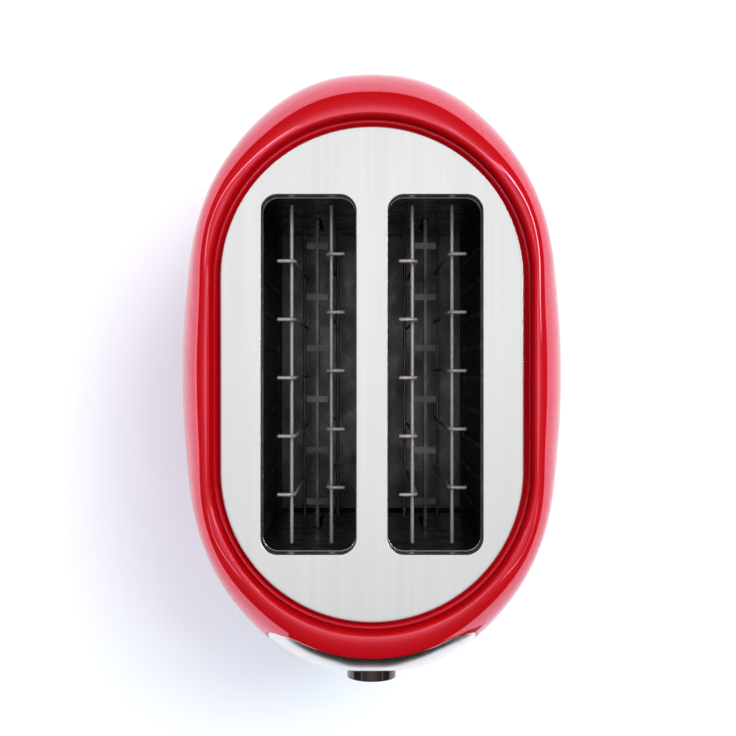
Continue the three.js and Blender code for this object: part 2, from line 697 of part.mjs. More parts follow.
const COLLAR_RADIUS = BUTTON_RADIUS + BUTTON_COLLAR;
const LOWEST_COLLAR_Y = frontFaceY(BUTTON_ACROSS + COLLAR_RADIUS,
  DIAL_HEIGHT - BUTTON_RISE - COLLAR_RADIUS, PANEL_BACK_INSET) + SEAT_GAP;
const BUTTON_BACK_Y = LOWEST_COLLAR_Y + BUTTON_COLLAR_LENGTH + BUTTON_STEM_LENGTH;
const SWITCH_FRONT_Y = BUTTON_BACK_Y + BUTTON_TRAVEL + SEAT_GAP;
const CIRCUIT_FRONT_Y = SWITCH_FRONT_Y + SWITCH_LENGTH + SEAT_GAP;
const DIAL_BACK_Y = frontFaceY(0, DIAL_HEIGHT + DIAL_RADIUS, PANEL_INSET) - SEAT_GAP;
const DIAL_FRONT_Y = DIAL_BACK_Y - DIAL_LENGTH;
const CONTROL_FRONT_Y = CIRCUIT_FRONT_Y - SEAT_GAP - CONTROL_LENGTH;

function flutedOutline(radius) {
  const points = [];
  const count = DIAL_FLUTES * FLUTE_STEPS;
  for (let step = 0; step < count; step += 1) {
    const angle = (2 * Math.PI * step) / count;
    const reach = radius - (step % FLUTE_STEPS === 0 ? DIAL_FLUTE_DEPTH : 0);
    points.push(new THREE.Vector2(reach * Math.cos(angle), DIAL_HEIGHT + reach * Math.sin(angle)));
  }
  return points;
}

function addDial() {
  const socketEnd = DIAL_BACK_Y - SHAFT_GRIP;
  const capRadius = DIAL_RADIUS - DIAL_EDGE;
  const capProfile = [[0, 0], [capRadius, 0], [capRadius, DIAL_LENGTH - DIAL_EDGE],
    [capRadius - DIAL_EDGE, DIAL_LENGTH], [0, DIAL_LENGTH]];
  const cap = turnedForward(capProfile, 0, DIAL_BACK_Y, DIAL_HEIGHT, WIDE_SIDES);
  const gripFront = DIAL_FRONT_Y + 2 * DIAL_EDGE;
  const grip = extrudeBack(flutedOutline(DIAL_RADIUS), gripFront, DIAL_BACK_Y);
  const socketOutline = polygon(SHAFT_RADIUS + SEAT_GAP, SHAFT_SIDES, 0, DIAL_HEIGHT);
  const socket = extrudeBack(socketOutline, socketEnd, DIAL_BACK_Y + OVERRUN);
  addPiece('browning_dial', cap.add(grip).subtract(socket), materials.knob);
  const shaftOutline = polygon(SHAFT_RADIUS, SHAFT_SIDES, 0, DIAL_HEIGHT);
  const shaft = extrudeBack(shaftOutline, socketEnd + SEAT_GAP, CONTROL_FRONT_Y - SEAT_GAP);
  addPiece('control_shaft', shaft, materials.steel);
  const controlProfile = [[0, 0], [CONTROL_RADIUS, 0], [CONTROL_RADIUS, CONTROL_LENGTH - SHEET],
    [SHAFT_RADIUS + SHEET, CONTROL_LENGTH], [0, CONTROL_LENGTH]];
  const control = turnedForward(controlProfile, 0, CIRCUIT_FRONT_Y - SEAT_GAP, DIAL_HEIGHT);
  addPiece('browning_control', control, materials.steel);
  const inner = DIAL_RADIUS + DIAL_ROOM;
  const outer = inner + DIAL_RING_WIDTH;
  const back = PANEL_INSET - SEAT_GAP;
  const ringOutline = polygon(outer, RING_SIDES, 0, DIAL_HEIGHT);
  const ring = frontSkin(ringOutline, back - DIAL_RING_THICKNESS, back,
    DIAL_HEIGHT - outer - OVERRUN, DIAL_HEIGHT + outer + OVERRUN);
  const openingOutline = polygon(inner, RING_SIDES, 0, DIAL_HEIGHT);
  const opening = extrudeBack(openingOutline, -WIDEST_HALF_LENGTH - OVERRUN, 0);
  addPiece('dial_ring', ring.subtract(opening), materials.chrome);
}

// Push buttons that slide in the panel, and the switches behind them

function addButtons() {
  buttonPlaces().forEach(([x, z], index) => {
    const faceY = frontFaceY(x, z, PANEL_INSET);
    const edgeX = Math.abs(x) + COLLAR_RADIUS;
    const collarFrontY = frontFaceY(edgeX, z - COLLAR_RADIUS, PANEL_BACK_INSET) + SEAT_GAP;
    const length = BUTTON_BACK_Y - faceY + BUTTON_PROUD;
    const collarEnd = BUTTON_BACK_Y - collarFrontY;
    const collarStart = collarEnd - BUTTON_COLLAR_LENGTH;
    const profile = [[0, 0], [BUTTON_STEM_RADIUS, 0], [BUTTON_STEM_RADIUS, collarStart],
      [COLLAR_RADIUS, collarStart], [COLLAR_RADIUS, collarEnd], [BUTTON_RADIUS, collarEnd],
      [BUTTON_RADIUS, length - SHEET], [BUTTON_RADIUS - SHEET, length], [0, length]];
    const button = turnedForward(profile, x, BUTTON_BACK_Y, z, SHAFT_SIDES);
    addPiece(`push_button_${index + 1}`, button, materials.knob);
    const half = SWITCH_SIZE / 2;
    const block = box(x - half, x + half, SWITCH_FRONT_Y, SWITCH_FRONT_Y + SWITCH_LENGTH,
      z - half, z + half);
    addPiece(`button_switch_${index + 1}`, block, materials.black);
  });
}

// Circuit board that stands on the base pan

function addCircuitBoard() {
  const footTop = BASE_Z + SHEET;
  const corners = [[CIRCUIT_FOOT_HALF_WIDTH, FLOOR_SEAT_Z], [CIRCUIT_FOOT_HALF_WIDTH, footTop],
    [CIRCUIT_HALF_WIDTH, footTop], [CIRCUIT_HALF_WIDTH, CIRCUIT_TOP]];
  const right = corners.map(([x, z]) => new THREE.Vector2(x, z));
  const left = corners.map(([x, z]) => new THREE.Vector2(-x, z)).reverse();
  const back = CIRCUIT_FRONT_Y + CIRCUIT_THICKNESS;
  addPiece('circuit_board', extrudeBack([...right, ...left], CIRCUIT_FRONT_Y, back), materials.board);
}

// End plates of the chassis: one shape, used at the front and turned round at the back

function endPlate() {
  const front = -END_PLATE_BACK_Y;
  const back = -END_PLATE_Y;
  const legInner = CHASSIS_HALF_WIDTH - LEG_WIDTH;
  let plate = box(-CHASSIS_HALF_WIDTH, CHASSIS_HALF_WIDTH, front, back, CHASSIS_LIFT, END_PLATE_TOP_Z);
  [-1, 1].forEach((side) => {
    const xLow = side > 0 ? legInner : -CHASSIS_HALF_WIDTH;
    const xHigh = xLow + LEG_WIDTH;
    const flangeTop = FLOOR_SEAT_Z + SHEET;
    plate = plate.add(box(xLow, xHigh, front, back, FLOOR_SEAT_Z, CHASSIS_LIFT + SHEET));
    plate = plate.add(box(xLow, xHigh, front - FLANGE_LENGTH, back, FLOOR_SEAT_Z, flangeTop));
    const screwHole = polygon(SCREW_RADIUS + SCREW_ROOM, HOLE_SIDES, side * SCREW_X, -SCREW_Y);
    plate = plate.subtract(extrudeUp(screwHole, 0, CHASSIS_LIFT));
    const slotX = side * SLOT_X;
    const slitHalf = RACK_THICKNESS / 2 + RACK_ROOM;
    const slitTop = RACK_HEIGHT + RACK_ROOM;
    const slitBottom = RACK_HEIGHT - RACK_DEPTH - LEVER_TRAVEL - RACK_ROOM;
    plate = plate.subtract(box(slotX - slitHalf, slotX + slitHalf, front - OVERRUN, back + OVERRUN,
      slitBottom, slitTop));
    [-GUARD_OFFSET, GUARD_OFFSET].forEach((offset) => {
      const hole = polygon(WIRE_RADIUS + SEAT_GAP, HOLE_SIDES, slotX + offset, GUARD_BASE_HEIGHT);
      plate = plate.subtract(extrudeBack(hole, front - OVERRUN, back + OVERRUN));
    });
  });
  return plate;
}

const SCREW_X = CHASSIS_HALF_WIDTH - LEG_WIDTH / 2;
const SCREW_Y = END_PLATE_BACK_Y + FLANGE_LENGTH / 2;

function addEndPlates() {
  addPiece('front_end_plate', endPlate(), materials.sheet);
  addPiece('rear_end_plate', endPlate().rotate([0, 0, 180]), materials.sheet);
}

function addReflectors() {
  const outer = CHASSIS_HALF_WIDTH;
  const inner = outer - REFLECTOR_THICKNESS;
  const top = END_PLATE_TOP_Z;
  const left = box(-outer, -inner, -INNER_HALF_LENGTH, INNER_HALF_LENGTH, CHASSIS_LIFT, top);
  const right = box(inner, outer, -INNER_HALF_LENGTH, INNER_HALF_LENGTH, CHASSIS_LIFT, top);
  addPiece('left_reflector', left, materials.sheet);
  addPiece('right_reflector', right, materials.sheet);
}

// Heater boards with notched edges, and the ribbon wound round each

const RIBBON_PITCH = (2 * INNER_HALF_LENGTH) / (RIBBON_TURNS + 1);

function turnY(turn) {
  return -INNER_HALF_LENGTH + RIBBON_PITCH * (turn + RIBBON_START_SHARE);
}

function boardOutline() {
  const points = [new THREE.Vector2(-INNER_HALF_LENGTH, BOARD_BOTTOM)];
  const addNotch = (from, to, edge, depth) => {
    points.push(new THREE.Vector2(from, edge), new THREE.Vector2(from, edge + depth));
    points.push(new THREE.Vector2(to, edge + depth), new THREE.Vector2(to, edge));
  };
  for (let turn = 0; turn < RIBBON_TURNS; turn += 1) {
    addNotch(turnY(turn) - SEAT_GAP, turnY(turn) + RIBBON_WIDTH + SEAT_GAP, BOARD_BOTTOM, NOTCH_DEPTH);
  }
  points.push(new THREE.Vector2(INNER_HALF_LENGTH, BOARD_BOTTOM));
  points.push(new THREE.Vector2(INNER_HALF_LENGTH, BOARD_TOP));
  for (let turn = RIBBON_TURNS - 1; turn >= 0; turn -= 1) {
    addNotch(turnY(turn) + RIBBON_WIDTH + SEAT_GAP, turnY(turn) - SEAT_GAP, BOARD_TOP, -NOTCH_DEPTH);
  }
  points.push(new THREE.Vector2(-INNER_HALF_LENGTH, BOARD_TOP));
  return points;
}

// The board stands in the y, z plane about its middle x; its face side is +1 or -1
function addHeater(name, x) {
  const shape = new THREE.Shape(boardOutline());
  const sheet = new THREE.ExtrudeGeometry(shape, { depth: BOARD_THICKNESS, bevelEnabled: false });
  const axes = new THREE.Matrix4().makeBasis(
    new THREE.Vector3(0, 1, 0), new THREE.Vector3(0, 0, 1), new THREE.Vector3(1, 0, 0));
  sheet.applyMatrix4(axes).translate(x - BOARD_THICKNESS / 2, 0, 0);
  addPiece(`${name}_heater_board`, toSolid(sheet), materials.mica);
  addGeometry(`${name}_heating_ribbon`, ribbonGeometry(x, Math.sign(x)), materials.ribbon);
}

// One band: up the face, over the edge in its notch, down the back to the next notch, and so on
function ribbonGeometry(x, backSide) {
  const near = BOARD_THICKNESS / 2 + SEAT_GAP;
  const low = BOARD_BOTTOM + NOTCH_DEPTH - SEAT_GAP;
  const high = BOARD_TOP - NOTCH_DEPTH + SEAT_GAP;
  const corners = [];
  for (let turn = 0; turn < RIBBON_TURNS; turn += 1) {
    const y = turnY(turn);
    corners.push([-1, 0, y], [-1, 1, y], [1, 1, y]);
    if (turn + 1 < RIBBON_TURNS) {
      corners.push([1, 0, turnY(turn + 1)]);
    }
  }
  const positions = [];
  corners.forEach(([side, up, y]) => {
    [0, RIBBON_THICKNESS].forEach((out) => {
      [y, y + RIBBON_WIDTH].forEach((along) => {
        const px = x + side * backSide * (near + out);
        const pz = up === 1 ? high + out : low - out;
        positions.push(px, along, pz);
      });
    });
  });
  const triangles = [];
  const ring = [0, 1, 3, 2];
  for (let corner = 0; corner + 1 < corners.length; corner += 1) {
    for (let side = 0; side < ring.length; side += 1) {
      const a = corner * 4 + ring[side];
      const b = corner * 4 + ring[(side + 1) % ring.length];
      triangles.push(a, b, b + 4, a, b + 4, a + 4);
    }
  }
  const last = (corners.length - 1) * 4;
  triangles.push(0, 2, 3, 0, 3, 1);
  triangles.push(last, last + 1, last + 3, last, last + 3, last + 2);
  if (backSide < 0) {
    for (let index = 0; index < triangles.length; index += 3) {
      [triangles[index], triangles[index + 1]] = [triangles[index + 1], triangles[index]];
    }
  }
  const geometry = new THREE.BufferGeometry();
  geometry.setAttribute('position', new THREE.BufferAttribute(new Float32Array(positions), 3));
  geometry.setIndex(triangles);
  geometry.computeVertexNormals();
  return geometry;
}

function addHeaters() {
  addHeater('left_outer', -BOARD_OUTER_X);
  addHeater('left_inner', -BOARD_INNER_X);
  addHeater('right_inner', BOARD_INNER_X);
  addHeater('right_outer', BOARD_OUTER_X);
}

// Wire guards: a pivot wire below, a long wire above and five uprights with bent tips

function guard(x, away) {
  const pivotEnd = END_PLATE_BACK_Y + SEAT_GAP;
  const topEnd = END_PLATE_Y - GUARD_TOP_ROOM - WIRE_RADIUS;
  const longWire = (end, z) => wire([new THREE.Vector3(x, -end, z), new THREE.Vector3(x, end, z)], 1);
  const parts = [longWire(pivotEnd, GUARD_BASE_HEIGHT), longWire(topEnd, GUARD_TOP_HEIGHT)];
  const uprightX = x - away * 2 * WIRE_RADIUS * WELD_SHARE;
  const tipZ = GUARD_TOP_HEIGHT + TIP_RISE;
  const bendZ = GUARD_TOP_HEIGHT + TIP_BEND;
  for (let index = 0; index < GUARD_UPRIGHTS; index += 1) {
    const y = (index - (GUARD_UPRIGHTS - 1) / 2) * GUARD_PITCH + away * GUARD_SHIFT;
    parts.push(wire([
      new THREE.Vector3(uprightX, y, GUARD_BASE_HEIGHT - WIRE_RADIUS),
      new THREE.Vector3(uprightX, y, bendZ),
    ], 1));
    parts.push(wire([
      new THREE.Vector3(uprightX, y, bendZ - WIRE_RADIUS),
      new THREE.Vector3(uprightX, y, bendZ),
      new THREE.Vector3(uprightX + away * 2 * WIRE_RADIUS, y, tipZ),
      new THREE.Vector3(uprightX + away * TIP_REACH, y, tipZ),
    ], TIP_STEPS));
  }
  return joinAll(parts);
}

function addGuards() {
  addPiece('left_outer_guard', guard(-SLOT_X - GUARD_OFFSET, -1), materials.wire);
  addPiece('left_inner_guard', guard(-SLOT_X + GUARD_OFFSET, 1), materials.wire);
  addPiece('right_inner_guard', guard(SLOT_X - GUARD_OFFSET, -1), materials.wire);
  addPiece('right_outer_guard', guard(SLOT_X + GUARD_OFFSET, 1), materials.wire);
}

// Bread racks: an upright strip with cross tabs, its ends through the end plates

function rack(x) {
  const half = RACK_THICKNESS / 2;
  const tabHalf = GUARD_OFFSET - RACK_TAB_ROOM;
  const tabReach = RACK_TAB_LENGTH / 2;
  const stripEnd = END_PLATE_Y - RACK_ROOM;
  const bottom = RACK_HEIGHT - RACK_DEPTH;
  const armBottom = bottom + (RACK_DEPTH - RACK_ARM_HEIGHT) / 2;
  const armTop = armBottom + RACK_ARM_HEIGHT;
  const parts = [
    box(x - half, x + half, -stripEnd, stripEnd, bottom, RACK_HEIGHT),
    box(x - half, x + half, CARRIAGE_FRONT_Y, END_PLATE_BACK_Y + RACK_ARM_REACH, armBottom, armTop),
  ];
  const pitch = (2 * stripEnd) / RACK_TABS;
  for (let index = 0; index < RACK_TABS; index += 1) {
    const y = (index - (RACK_TABS - 1) / 2) * pitch;
    parts.push(box(x - tabHalf, x + tabHalf, y - tabReach, y + tabReach,
      RACK_HEIGHT - RACK_THICKNESS, RACK_HEIGHT));
  }
  return joinAll(parts);
}

function addRacks() {
  addPiece('left_bread_rack', rack(-SLOT_X), materials.sheet);
  addPiece('right_bread_rack', rack(SLOT_X), materials.sheet);
}

// Carriage: a plate behind, a bush on the rod, and holes for the racks' arms

function addCarriage() {
  const armBottom = CARRIAGE_BOTTOM_Z + (RACK_DEPTH - RACK_ARM_HEIGHT) / 2;
  let carriage = box(-CARRIAGE_HALF_WIDTH, CARRIAGE_HALF_WIDTH, CARRIAGE_FRONT_Y, CARRIAGE_BACK_Y,
    CARRIAGE_BOTTOM_Z - RACK_ROOM, CARRIAGE_TOP_Z);
  carriage = carriage.add(box(-BUSH_WIDTH / 2, BUSH_WIDTH / 2, BUSH_FRONT_Y, CARRIAGE_BACK_Y,
    BUSH_BOTTOM_Z, CARRIAGE_TOP_Z));
  const bore = polygon(ROD_RADIUS + SEAT_GAP, ROUND_SIDES, 0, ROD_Y);
  carriage = carriage.subtract(extrudeUp(bore, BUSH_BOTTOM_Z - OVERRUN, CARRIAGE_TOP_Z + OVERRUN));
  [-SLOT_X, SLOT_X].forEach((x) => {
    const half = RACK_THICKNESS / 2 + SEAT_GAP;
    const hole = box(x - half, x + half, CARRIAGE_FRONT_Y - OVERRUN, CARRIAGE_BACK_Y + OVERRUN,
      armBottom - SEAT_GAP, armBottom + RACK_ARM_HEIGHT + SEAT_GAP);
    carriage = carriage.subtract(hole);
  });
  addPiece('carriage', carriage, materials.steel);
}

// Guide rod, its top bracket and the spring between the pan's socket and the bush

function addGuideRod() {
  const rod = extrudeUp(polygon(ROD_RADIUS, ROUND_SIDES, 0, ROD_Y), FLOOR_SEAT_Z, ROD_TOP);
  addPiece('guide_rod', rod, materials.chrome);
  const bracketBottom = ROD_TOP - 2 * BRACKET_THICKNESS;
  const bracketTop = bracketBottom + BRACKET_THICKNESS;
  const front = ROD_Y - ROD_RADIUS - BRACKET_THICKNESS - SHEET;
  const back = -END_PLATE_BACK_Y - SEAT_GAP;
  const shelf = box(-BRACKET_HALF_WIDTH, BRACKET_HALF_WIDTH, front, back, bracketBottom, bracketTop);
  const leg = box(-BRACKET_HALF_WIDTH, BRACKET_HALF_WIDTH, back - BRACKET_THICKNESS, back,
    bracketBottom - BRACKET_HALF_WIDTH, bracketTop);
  const hole = polygon(ROD_RADIUS + SEAT_GAP, ROUND_SIDES, 0, ROD_Y);
  const bracket = shelf.add(leg).subtract(extrudeUp(hole, bracketBottom - OVERRUN, ROD_TOP));
  addPiece('rod_bracket', bracket, materials.sheet);
  const socketTop = PAN_FLOOR_Z + ROD_SOCKET_HEIGHT;
  const spring = springGeometry(socketTop + SEAT_GAP, BUSH_BOTTOM_Z - SEAT_GAP);
  addGeometry('lift_spring', spring, materials.steel);
}

// The spring's wire as one tube round the rod, its curls from a formula
class Helix extends THREE.Curve {
  constructor(bottom, top) {
    super();
    this.bottom = bottom;
    this.top = top;
  }

  getPoint(share) {
    const angle = 2 * Math.PI * SPRING_CURLS * share;
    const z = between(this.bottom, this.top, share);
    return new THREE.Vector3(SPRING_RADIUS * Math.cos(angle), ROD_Y + SPRING_RADIUS * Math.sin(angle), z);
  }
}

function springGeometry(bottom, top) {
  const steps = SPRING_CURLS * CURL_STEPS;
  const path = new Helix(bottom + SPRING_WIRE, top - SPRING_WIRE);
  const section = new THREE.Shape(polygon(SPRING_WIRE, CURL_SIDES));
  const tube = new THREE.ExtrudeGeometry(section, { steps, bevelEnabled: false, extrudePath: path });
  return toGeometry(toSolid(tube));
}

// Electromagnet on the base pan, armature on the carriage, mains switch

const ARMATURE_BOTTOM_Z = CARRIAGE_BOTTOM_Z + ARMATURE_RISE;
const MAGNET_TOP_Z = ARMATURE_BOTTOM_Z - LEVER_TRAVEL - MAGNET_GAP;
const MAGNET_BACK_Y = CARRIAGE_FRONT_Y - ROD_SOCKET_WALL;

function addMagnet() {
  const left = MAGNET_ACROSS - MAGNET_WIDTH / 2;
  const right = MAGNET_ACROSS + MAGNET_WIDTH / 2;
  const front = MAGNET_BACK_Y - MAGNET_DEPTH;
  const yokeTop = FLOOR_SEAT_Z + MAGNET_YOKE;
  const core = joinAll([
    box(left, right, front, MAGNET_BACK_Y, FLOOR_SEAT_Z, yokeTop),
    box(left, left + MAGNET_LEG, front, MAGNET_BACK_Y, FLOOR_SEAT_Z, MAGNET_TOP_Z),
    box(right - MAGNET_LEG, right, front, MAGNET_BACK_Y, FLOOR_SEAT_Z, MAGNET_TOP_Z),
    box(MAGNET_ACROSS - MAGNET_LEG / 2, MAGNET_ACROSS + MAGNET_LEG / 2, front, MAGNET_BACK_Y,
      FLOOR_SEAT_Z, MAGNET_TOP_Z),
  ]);
  addPiece('magnet_core', core, materials.steel);
  const coilHalf = MAGNET_WIDTH / 2 - MAGNET_LEG - SEAT_GAP;
  const coilBottom = yokeTop + SEAT_GAP;
  const coilTop = MAGNET_TOP_Z - SHEET;
  const coil = box(MAGNET_ACROSS - coilHalf, MAGNET_ACROSS + coilHalf, front - MAGNET_LEG / 2,
    MAGNET_BACK_Y + MAGNET_LEG / 2, coilBottom, coilTop);
  const boreHalf = MAGNET_LEG / 2 + SEAT_GAP;
  const bore = box(MAGNET_ACROSS - boreHalf, MAGNET_ACROSS + boreHalf,
    front - SEAT_GAP, MAGNET_BACK_Y + SEAT_GAP, coilBottom - OVERRUN, coilTop + OVERRUN);
  addPiece('magnet_coil', coil.subtract(bore), materials.copper);
  const armature = box(left, right, front, CARRIAGE_FRONT_Y - SEAT_GAP,
    ARMATURE_BOTTOM_Z, ARMATURE_BOTTOM_Z + ARMATURE_THICKNESS);
  addPiece('armature', armature, materials.steel);
}

function addMainsSwitch() {
  const x = -MAGNET_ACROSS;
  const half = SWITCH_BLOCK_WIDTH / 2;
  const front = MAGNET_BACK_Y - SWITCH_BLOCK_DEPTH;
  const top = PAN_FLOOR_Z + SWITCH_BLOCK_RISE;
  const slotHalf = SWITCH_BLOCK_SLOT / 2;
  const strikerHalf = slotHalf - RACK_ROOM;
  const strikerBottom = ARMATURE_BOTTOM_Z;
  const slotBottom = strikerBottom - LEVER_TRAVEL - OVERRUN;
  const block = box(x - half, x + half, front, MAGNET_BACK_Y, FLOOR_SEAT_Z, top);
  const slot = box(x - slotHalf, x + slotHalf, front - OVERRUN, MAGNET_BACK_Y + OVERRUN,
    slotBottom, top + OVERRUN);
  addPiece('mains_switch', block.subtract(slot), materials.black);
  const striker = box(x - strikerHalf, x + strikerHalf, front + SHEET, CARRIAGE_FRONT_Y - SEAT_GAP,
    strikerBottom, strikerBottom + SWITCH_BLOCK_DEPTH);
  addPiece('switch_striker', striker, materials.black);
}

// Base pan: a shallow dish under the body, open at the back for the crumb tray

function panSection(z, inset) {
  const share = (BASE_Z - z) / BASE_RISE;
  return outlineSection(z, bodyLevel(BASE_Z, PAN_SET_IN + inset + PAN_TUCK * share ** 2));
}

function addBasePan() {
  const top = BASE_Z - SEAT_GAP;
  const middle = (FOOT_HEIGHT + top) / 2;
  let pan = loft([panSection(FOOT_HEIGHT, 0), panSection(middle, 0), panSection(top, 0)]);
  const hollow = loft([panSection(PAN_FLOOR_Z, PAN_WALL), panSection(middle + SHEET, PAN_WALL),
    panSection(top + OVERRUN, PAN_WALL)]);
  const doorHalf = TRAY_HALF_WIDTH + TRAY_SIDE_ROOM;
  const door = box(-doorHalf, doorHalf, 0, WIDEST_HALF_LENGTH, PAN_FLOOR_Z, BASE_Z);
  pan = pan.subtract(hollow).subtract(door);
  const socket = polygon(ROD_RADIUS + SEAT_GAP + ROD_SOCKET_WALL, ROUND_SIDES, 0, ROD_Y);
  const socketBore = polygon(ROD_RADIUS + SEAT_GAP, ROUND_SIDES, 0, ROD_Y);
  const socketTop = PAN_FLOOR_Z + ROD_SOCKET_HEIGHT;
  pan = pan.add(extrudeUp(socket, PAN_FLOOR_Z - SHEET, socketTop));
  pan = pan.subtract(extrudeUp(socketBore, PAN_FLOOR_Z, socketTop + OVERRUN));
  [-1, 1].forEach((sideX) => {
    [-1, 1].forEach((sideY) => {
      const hole = polygon(SCREW_RADIUS + SCREW_ROOM, HOLE_SIDES, sideX * SCREW_X, sideY * SCREW_Y);
      pan = pan.subtract(extrudeUp(hole, FOOT_HEIGHT - OVERRUN, PAN_FLOOR_Z + OVERRUN));
    });
  });
  for (let index = 0; index < VENT_COUNT; index += 1) {
    const y = (index - (VENT_COUNT - 1) / 2) * VENT_PITCH;
    const vent = roundedRectangle(VENT_LENGTH / 2, VENT_WIDTH / 2, VENT_WIDTH / 2, 0, y, VENT_STEPS);
    pan = pan.subtract(extrudeUp(vent, FOOT_HEIGHT - OVERRUN, PAN_FLOOR_Z + OVERRUN));
  }
  addPiece('base_pan', pan, materials.black);
}

function addFeet() {
  const top = FOOT_HEIGHT - SEAT_GAP;
  const footProfile = [[0, 0], [FOOT_RADIUS - FOOT_TAPER, 0], [FOOT_RADIUS, top / 2],
    [FOOT_RADIUS, top], [0, top]];
  const headBottom = top - SCREW_HEAD_HEIGHT;
  const screwProfile = [[0, headBottom], [SCREW_HEAD_RADIUS - SCREW_ROOM, headBottom],
    [SCREW_HEAD_RADIUS, top - SCREW_HEAD_HEIGHT / 2], [SCREW_HEAD_RADIUS, top], [SCREW_RADIUS, top],
    [SCREW_RADIUS, top + SCREW_LENGTH], [0, top + SCREW_LENGTH]];
  const places = [[-1, -1], [1, -1], [-1, 1], [1, 1]];
  places.forEach(([sideX, sideY], index) => {
    const foot = turned(footProfile).translate([sideX * FOOT_ACROSS, sideY * FOOT_ALONG, 0]);
    addPiece(`foot_${index + 1}`, foot, materials.rubber);
    const screw = turned(screwProfile, SCREW_SIDES).translate([sideX * SCREW_X, sideY * SCREW_Y, 0]);
    addPiece(`base_screw_${index + 1}`, screw, materials.steel);
  });
}

// Crumb tray that slides out at the back, with its handle

function traySolid(inset, bottom, top) {
  const halfWidth = TRAY_HALF_WIDTH - inset;
  const start = -INNER_HALF_LENGTH + TRAY_SIDE_ROOM + inset;
  const slab = box(-halfWidth, halfWidth, start, WIDEST_HALF_LENGTH, bottom, top);
  const outline = outlineSection(0, bodyLevel(BASE_Z, PAN_SET_IN + PAN_TUCK + inset));
  const raise = (z) => outline.map((point) => new THREE.Vector3(point.x, point.y, z));
  return slab.intersect(loft([raise(bottom), raise(top)]));
}

function addCrumbTray() {
  const bottom = PAN_FLOOR_Z + TRAY_ROOM;
  const top = bottom + TRAY_HEIGHT;
  const hollow = traySolid(TRAY_SHEET, bottom + TRAY_SHEET, top + OVERRUN);
  addPiece('crumb_tray', traySolid(0, bottom, top).subtract(hollow), materials.sheet);
  const start = bodyLevel(BASE_Z, PAN_SET_IN + PAN_TUCK).halfLength + SEAT_GAP;
  const lipTop = bottom + HANDLE_LIP;
  const half = HANDLE_HALF_WIDTH;
  const upright = box(-half, half, start, start + HANDLE_SHEET, bottom, top);
  const shelf = box(-half, half, start, HANDLE_REACH, bottom, bottom + HANDLE_SHEET);
  const lipOutline = roundedRectangle(half, HANDLE_LIP / 2, HANDLE_CORNER, 0, (bottom + lipTop) / 2);
  const lip = extrudeBack(lipOutline, HANDLE_REACH - HANDLE_SHEET, HANDLE_REACH);
  addPiece('tray_handle', joinAll([upright, shelf, lip]), materials.black);
}

// Bush in the back wall where the mains cord would enter

function addCordInlet() {
  const wallY = bodyLevel(INLET_HEIGHT + INLET_RADIUS + INLET_FLANGE).halfLength;
  const flangeBack = wallY + SEAT_GAP;
  const front = flangeBack + INLET_FLANGE_LENGTH;
  const flangeRadius = INLET_RADIUS + INLET_FLANGE;
  const profile = [[INLET_BORE, 0], [flangeRadius, 0], [flangeRadius, INLET_FLANGE_LENGTH],
    [INLET_RADIUS, INLET_FLANGE_LENGTH], [INLET_RADIUS, INLET_LENGTH], [INLET_BORE, INLET_LENGTH],
    [INLET_BORE, 0]];
  addPiece('cord_inlet', turnedForward(profile, 0, front, INLET_HEIGHT, WIDE_SIDES), materials.black);
}

addBodyShell();
addTopPlate();
addControlPanel();
addLeverTrack();
addLeverSurround();
addLever();
addDial();
addButtons();
addCircuitBoard();
addEndPlates();
addReflectors();
addHeaters();
addGuards();
addRacks();
addCarriage();
addGuideRod();
addMagnet();
addMainsSwitch();
addBasePan();
addFeet();
addCrumbTray();
addCordInlet();

// The origin is under the middle of the whole object's box
toaster.position.y = (-DIAL_FRONT_Y - HANDLE_REACH) / 2;

export default toaster;
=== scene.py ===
# Two-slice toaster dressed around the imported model, with its camera, light and stage
import math
from collections import namedtuple

import bmesh
import bpy
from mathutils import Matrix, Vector


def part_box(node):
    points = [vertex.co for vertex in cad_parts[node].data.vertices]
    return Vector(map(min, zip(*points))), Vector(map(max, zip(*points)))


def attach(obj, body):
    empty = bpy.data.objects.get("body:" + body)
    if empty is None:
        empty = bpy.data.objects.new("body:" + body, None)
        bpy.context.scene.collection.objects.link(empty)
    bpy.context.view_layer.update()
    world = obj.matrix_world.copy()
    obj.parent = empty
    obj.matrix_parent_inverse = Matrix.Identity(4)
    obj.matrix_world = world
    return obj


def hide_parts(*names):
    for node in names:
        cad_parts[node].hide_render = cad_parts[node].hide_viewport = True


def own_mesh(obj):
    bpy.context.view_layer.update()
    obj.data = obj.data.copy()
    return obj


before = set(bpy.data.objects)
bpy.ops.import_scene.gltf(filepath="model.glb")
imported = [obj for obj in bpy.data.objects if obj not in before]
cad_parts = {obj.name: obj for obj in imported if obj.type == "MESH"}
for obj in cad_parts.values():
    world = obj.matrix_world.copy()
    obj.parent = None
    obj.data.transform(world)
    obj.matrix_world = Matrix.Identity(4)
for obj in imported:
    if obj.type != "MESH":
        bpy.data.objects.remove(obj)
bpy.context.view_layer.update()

# Millimetres to metres, and the part's middle, taken from the top plate
MM = 0.001
plate_low, plate_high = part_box("top_plate")
CENTRE_X = (plate_low.x + plate_high.x) / 2 / MM
CENTRE_Y = (plate_low.y + plate_high.y) / 2 / MM

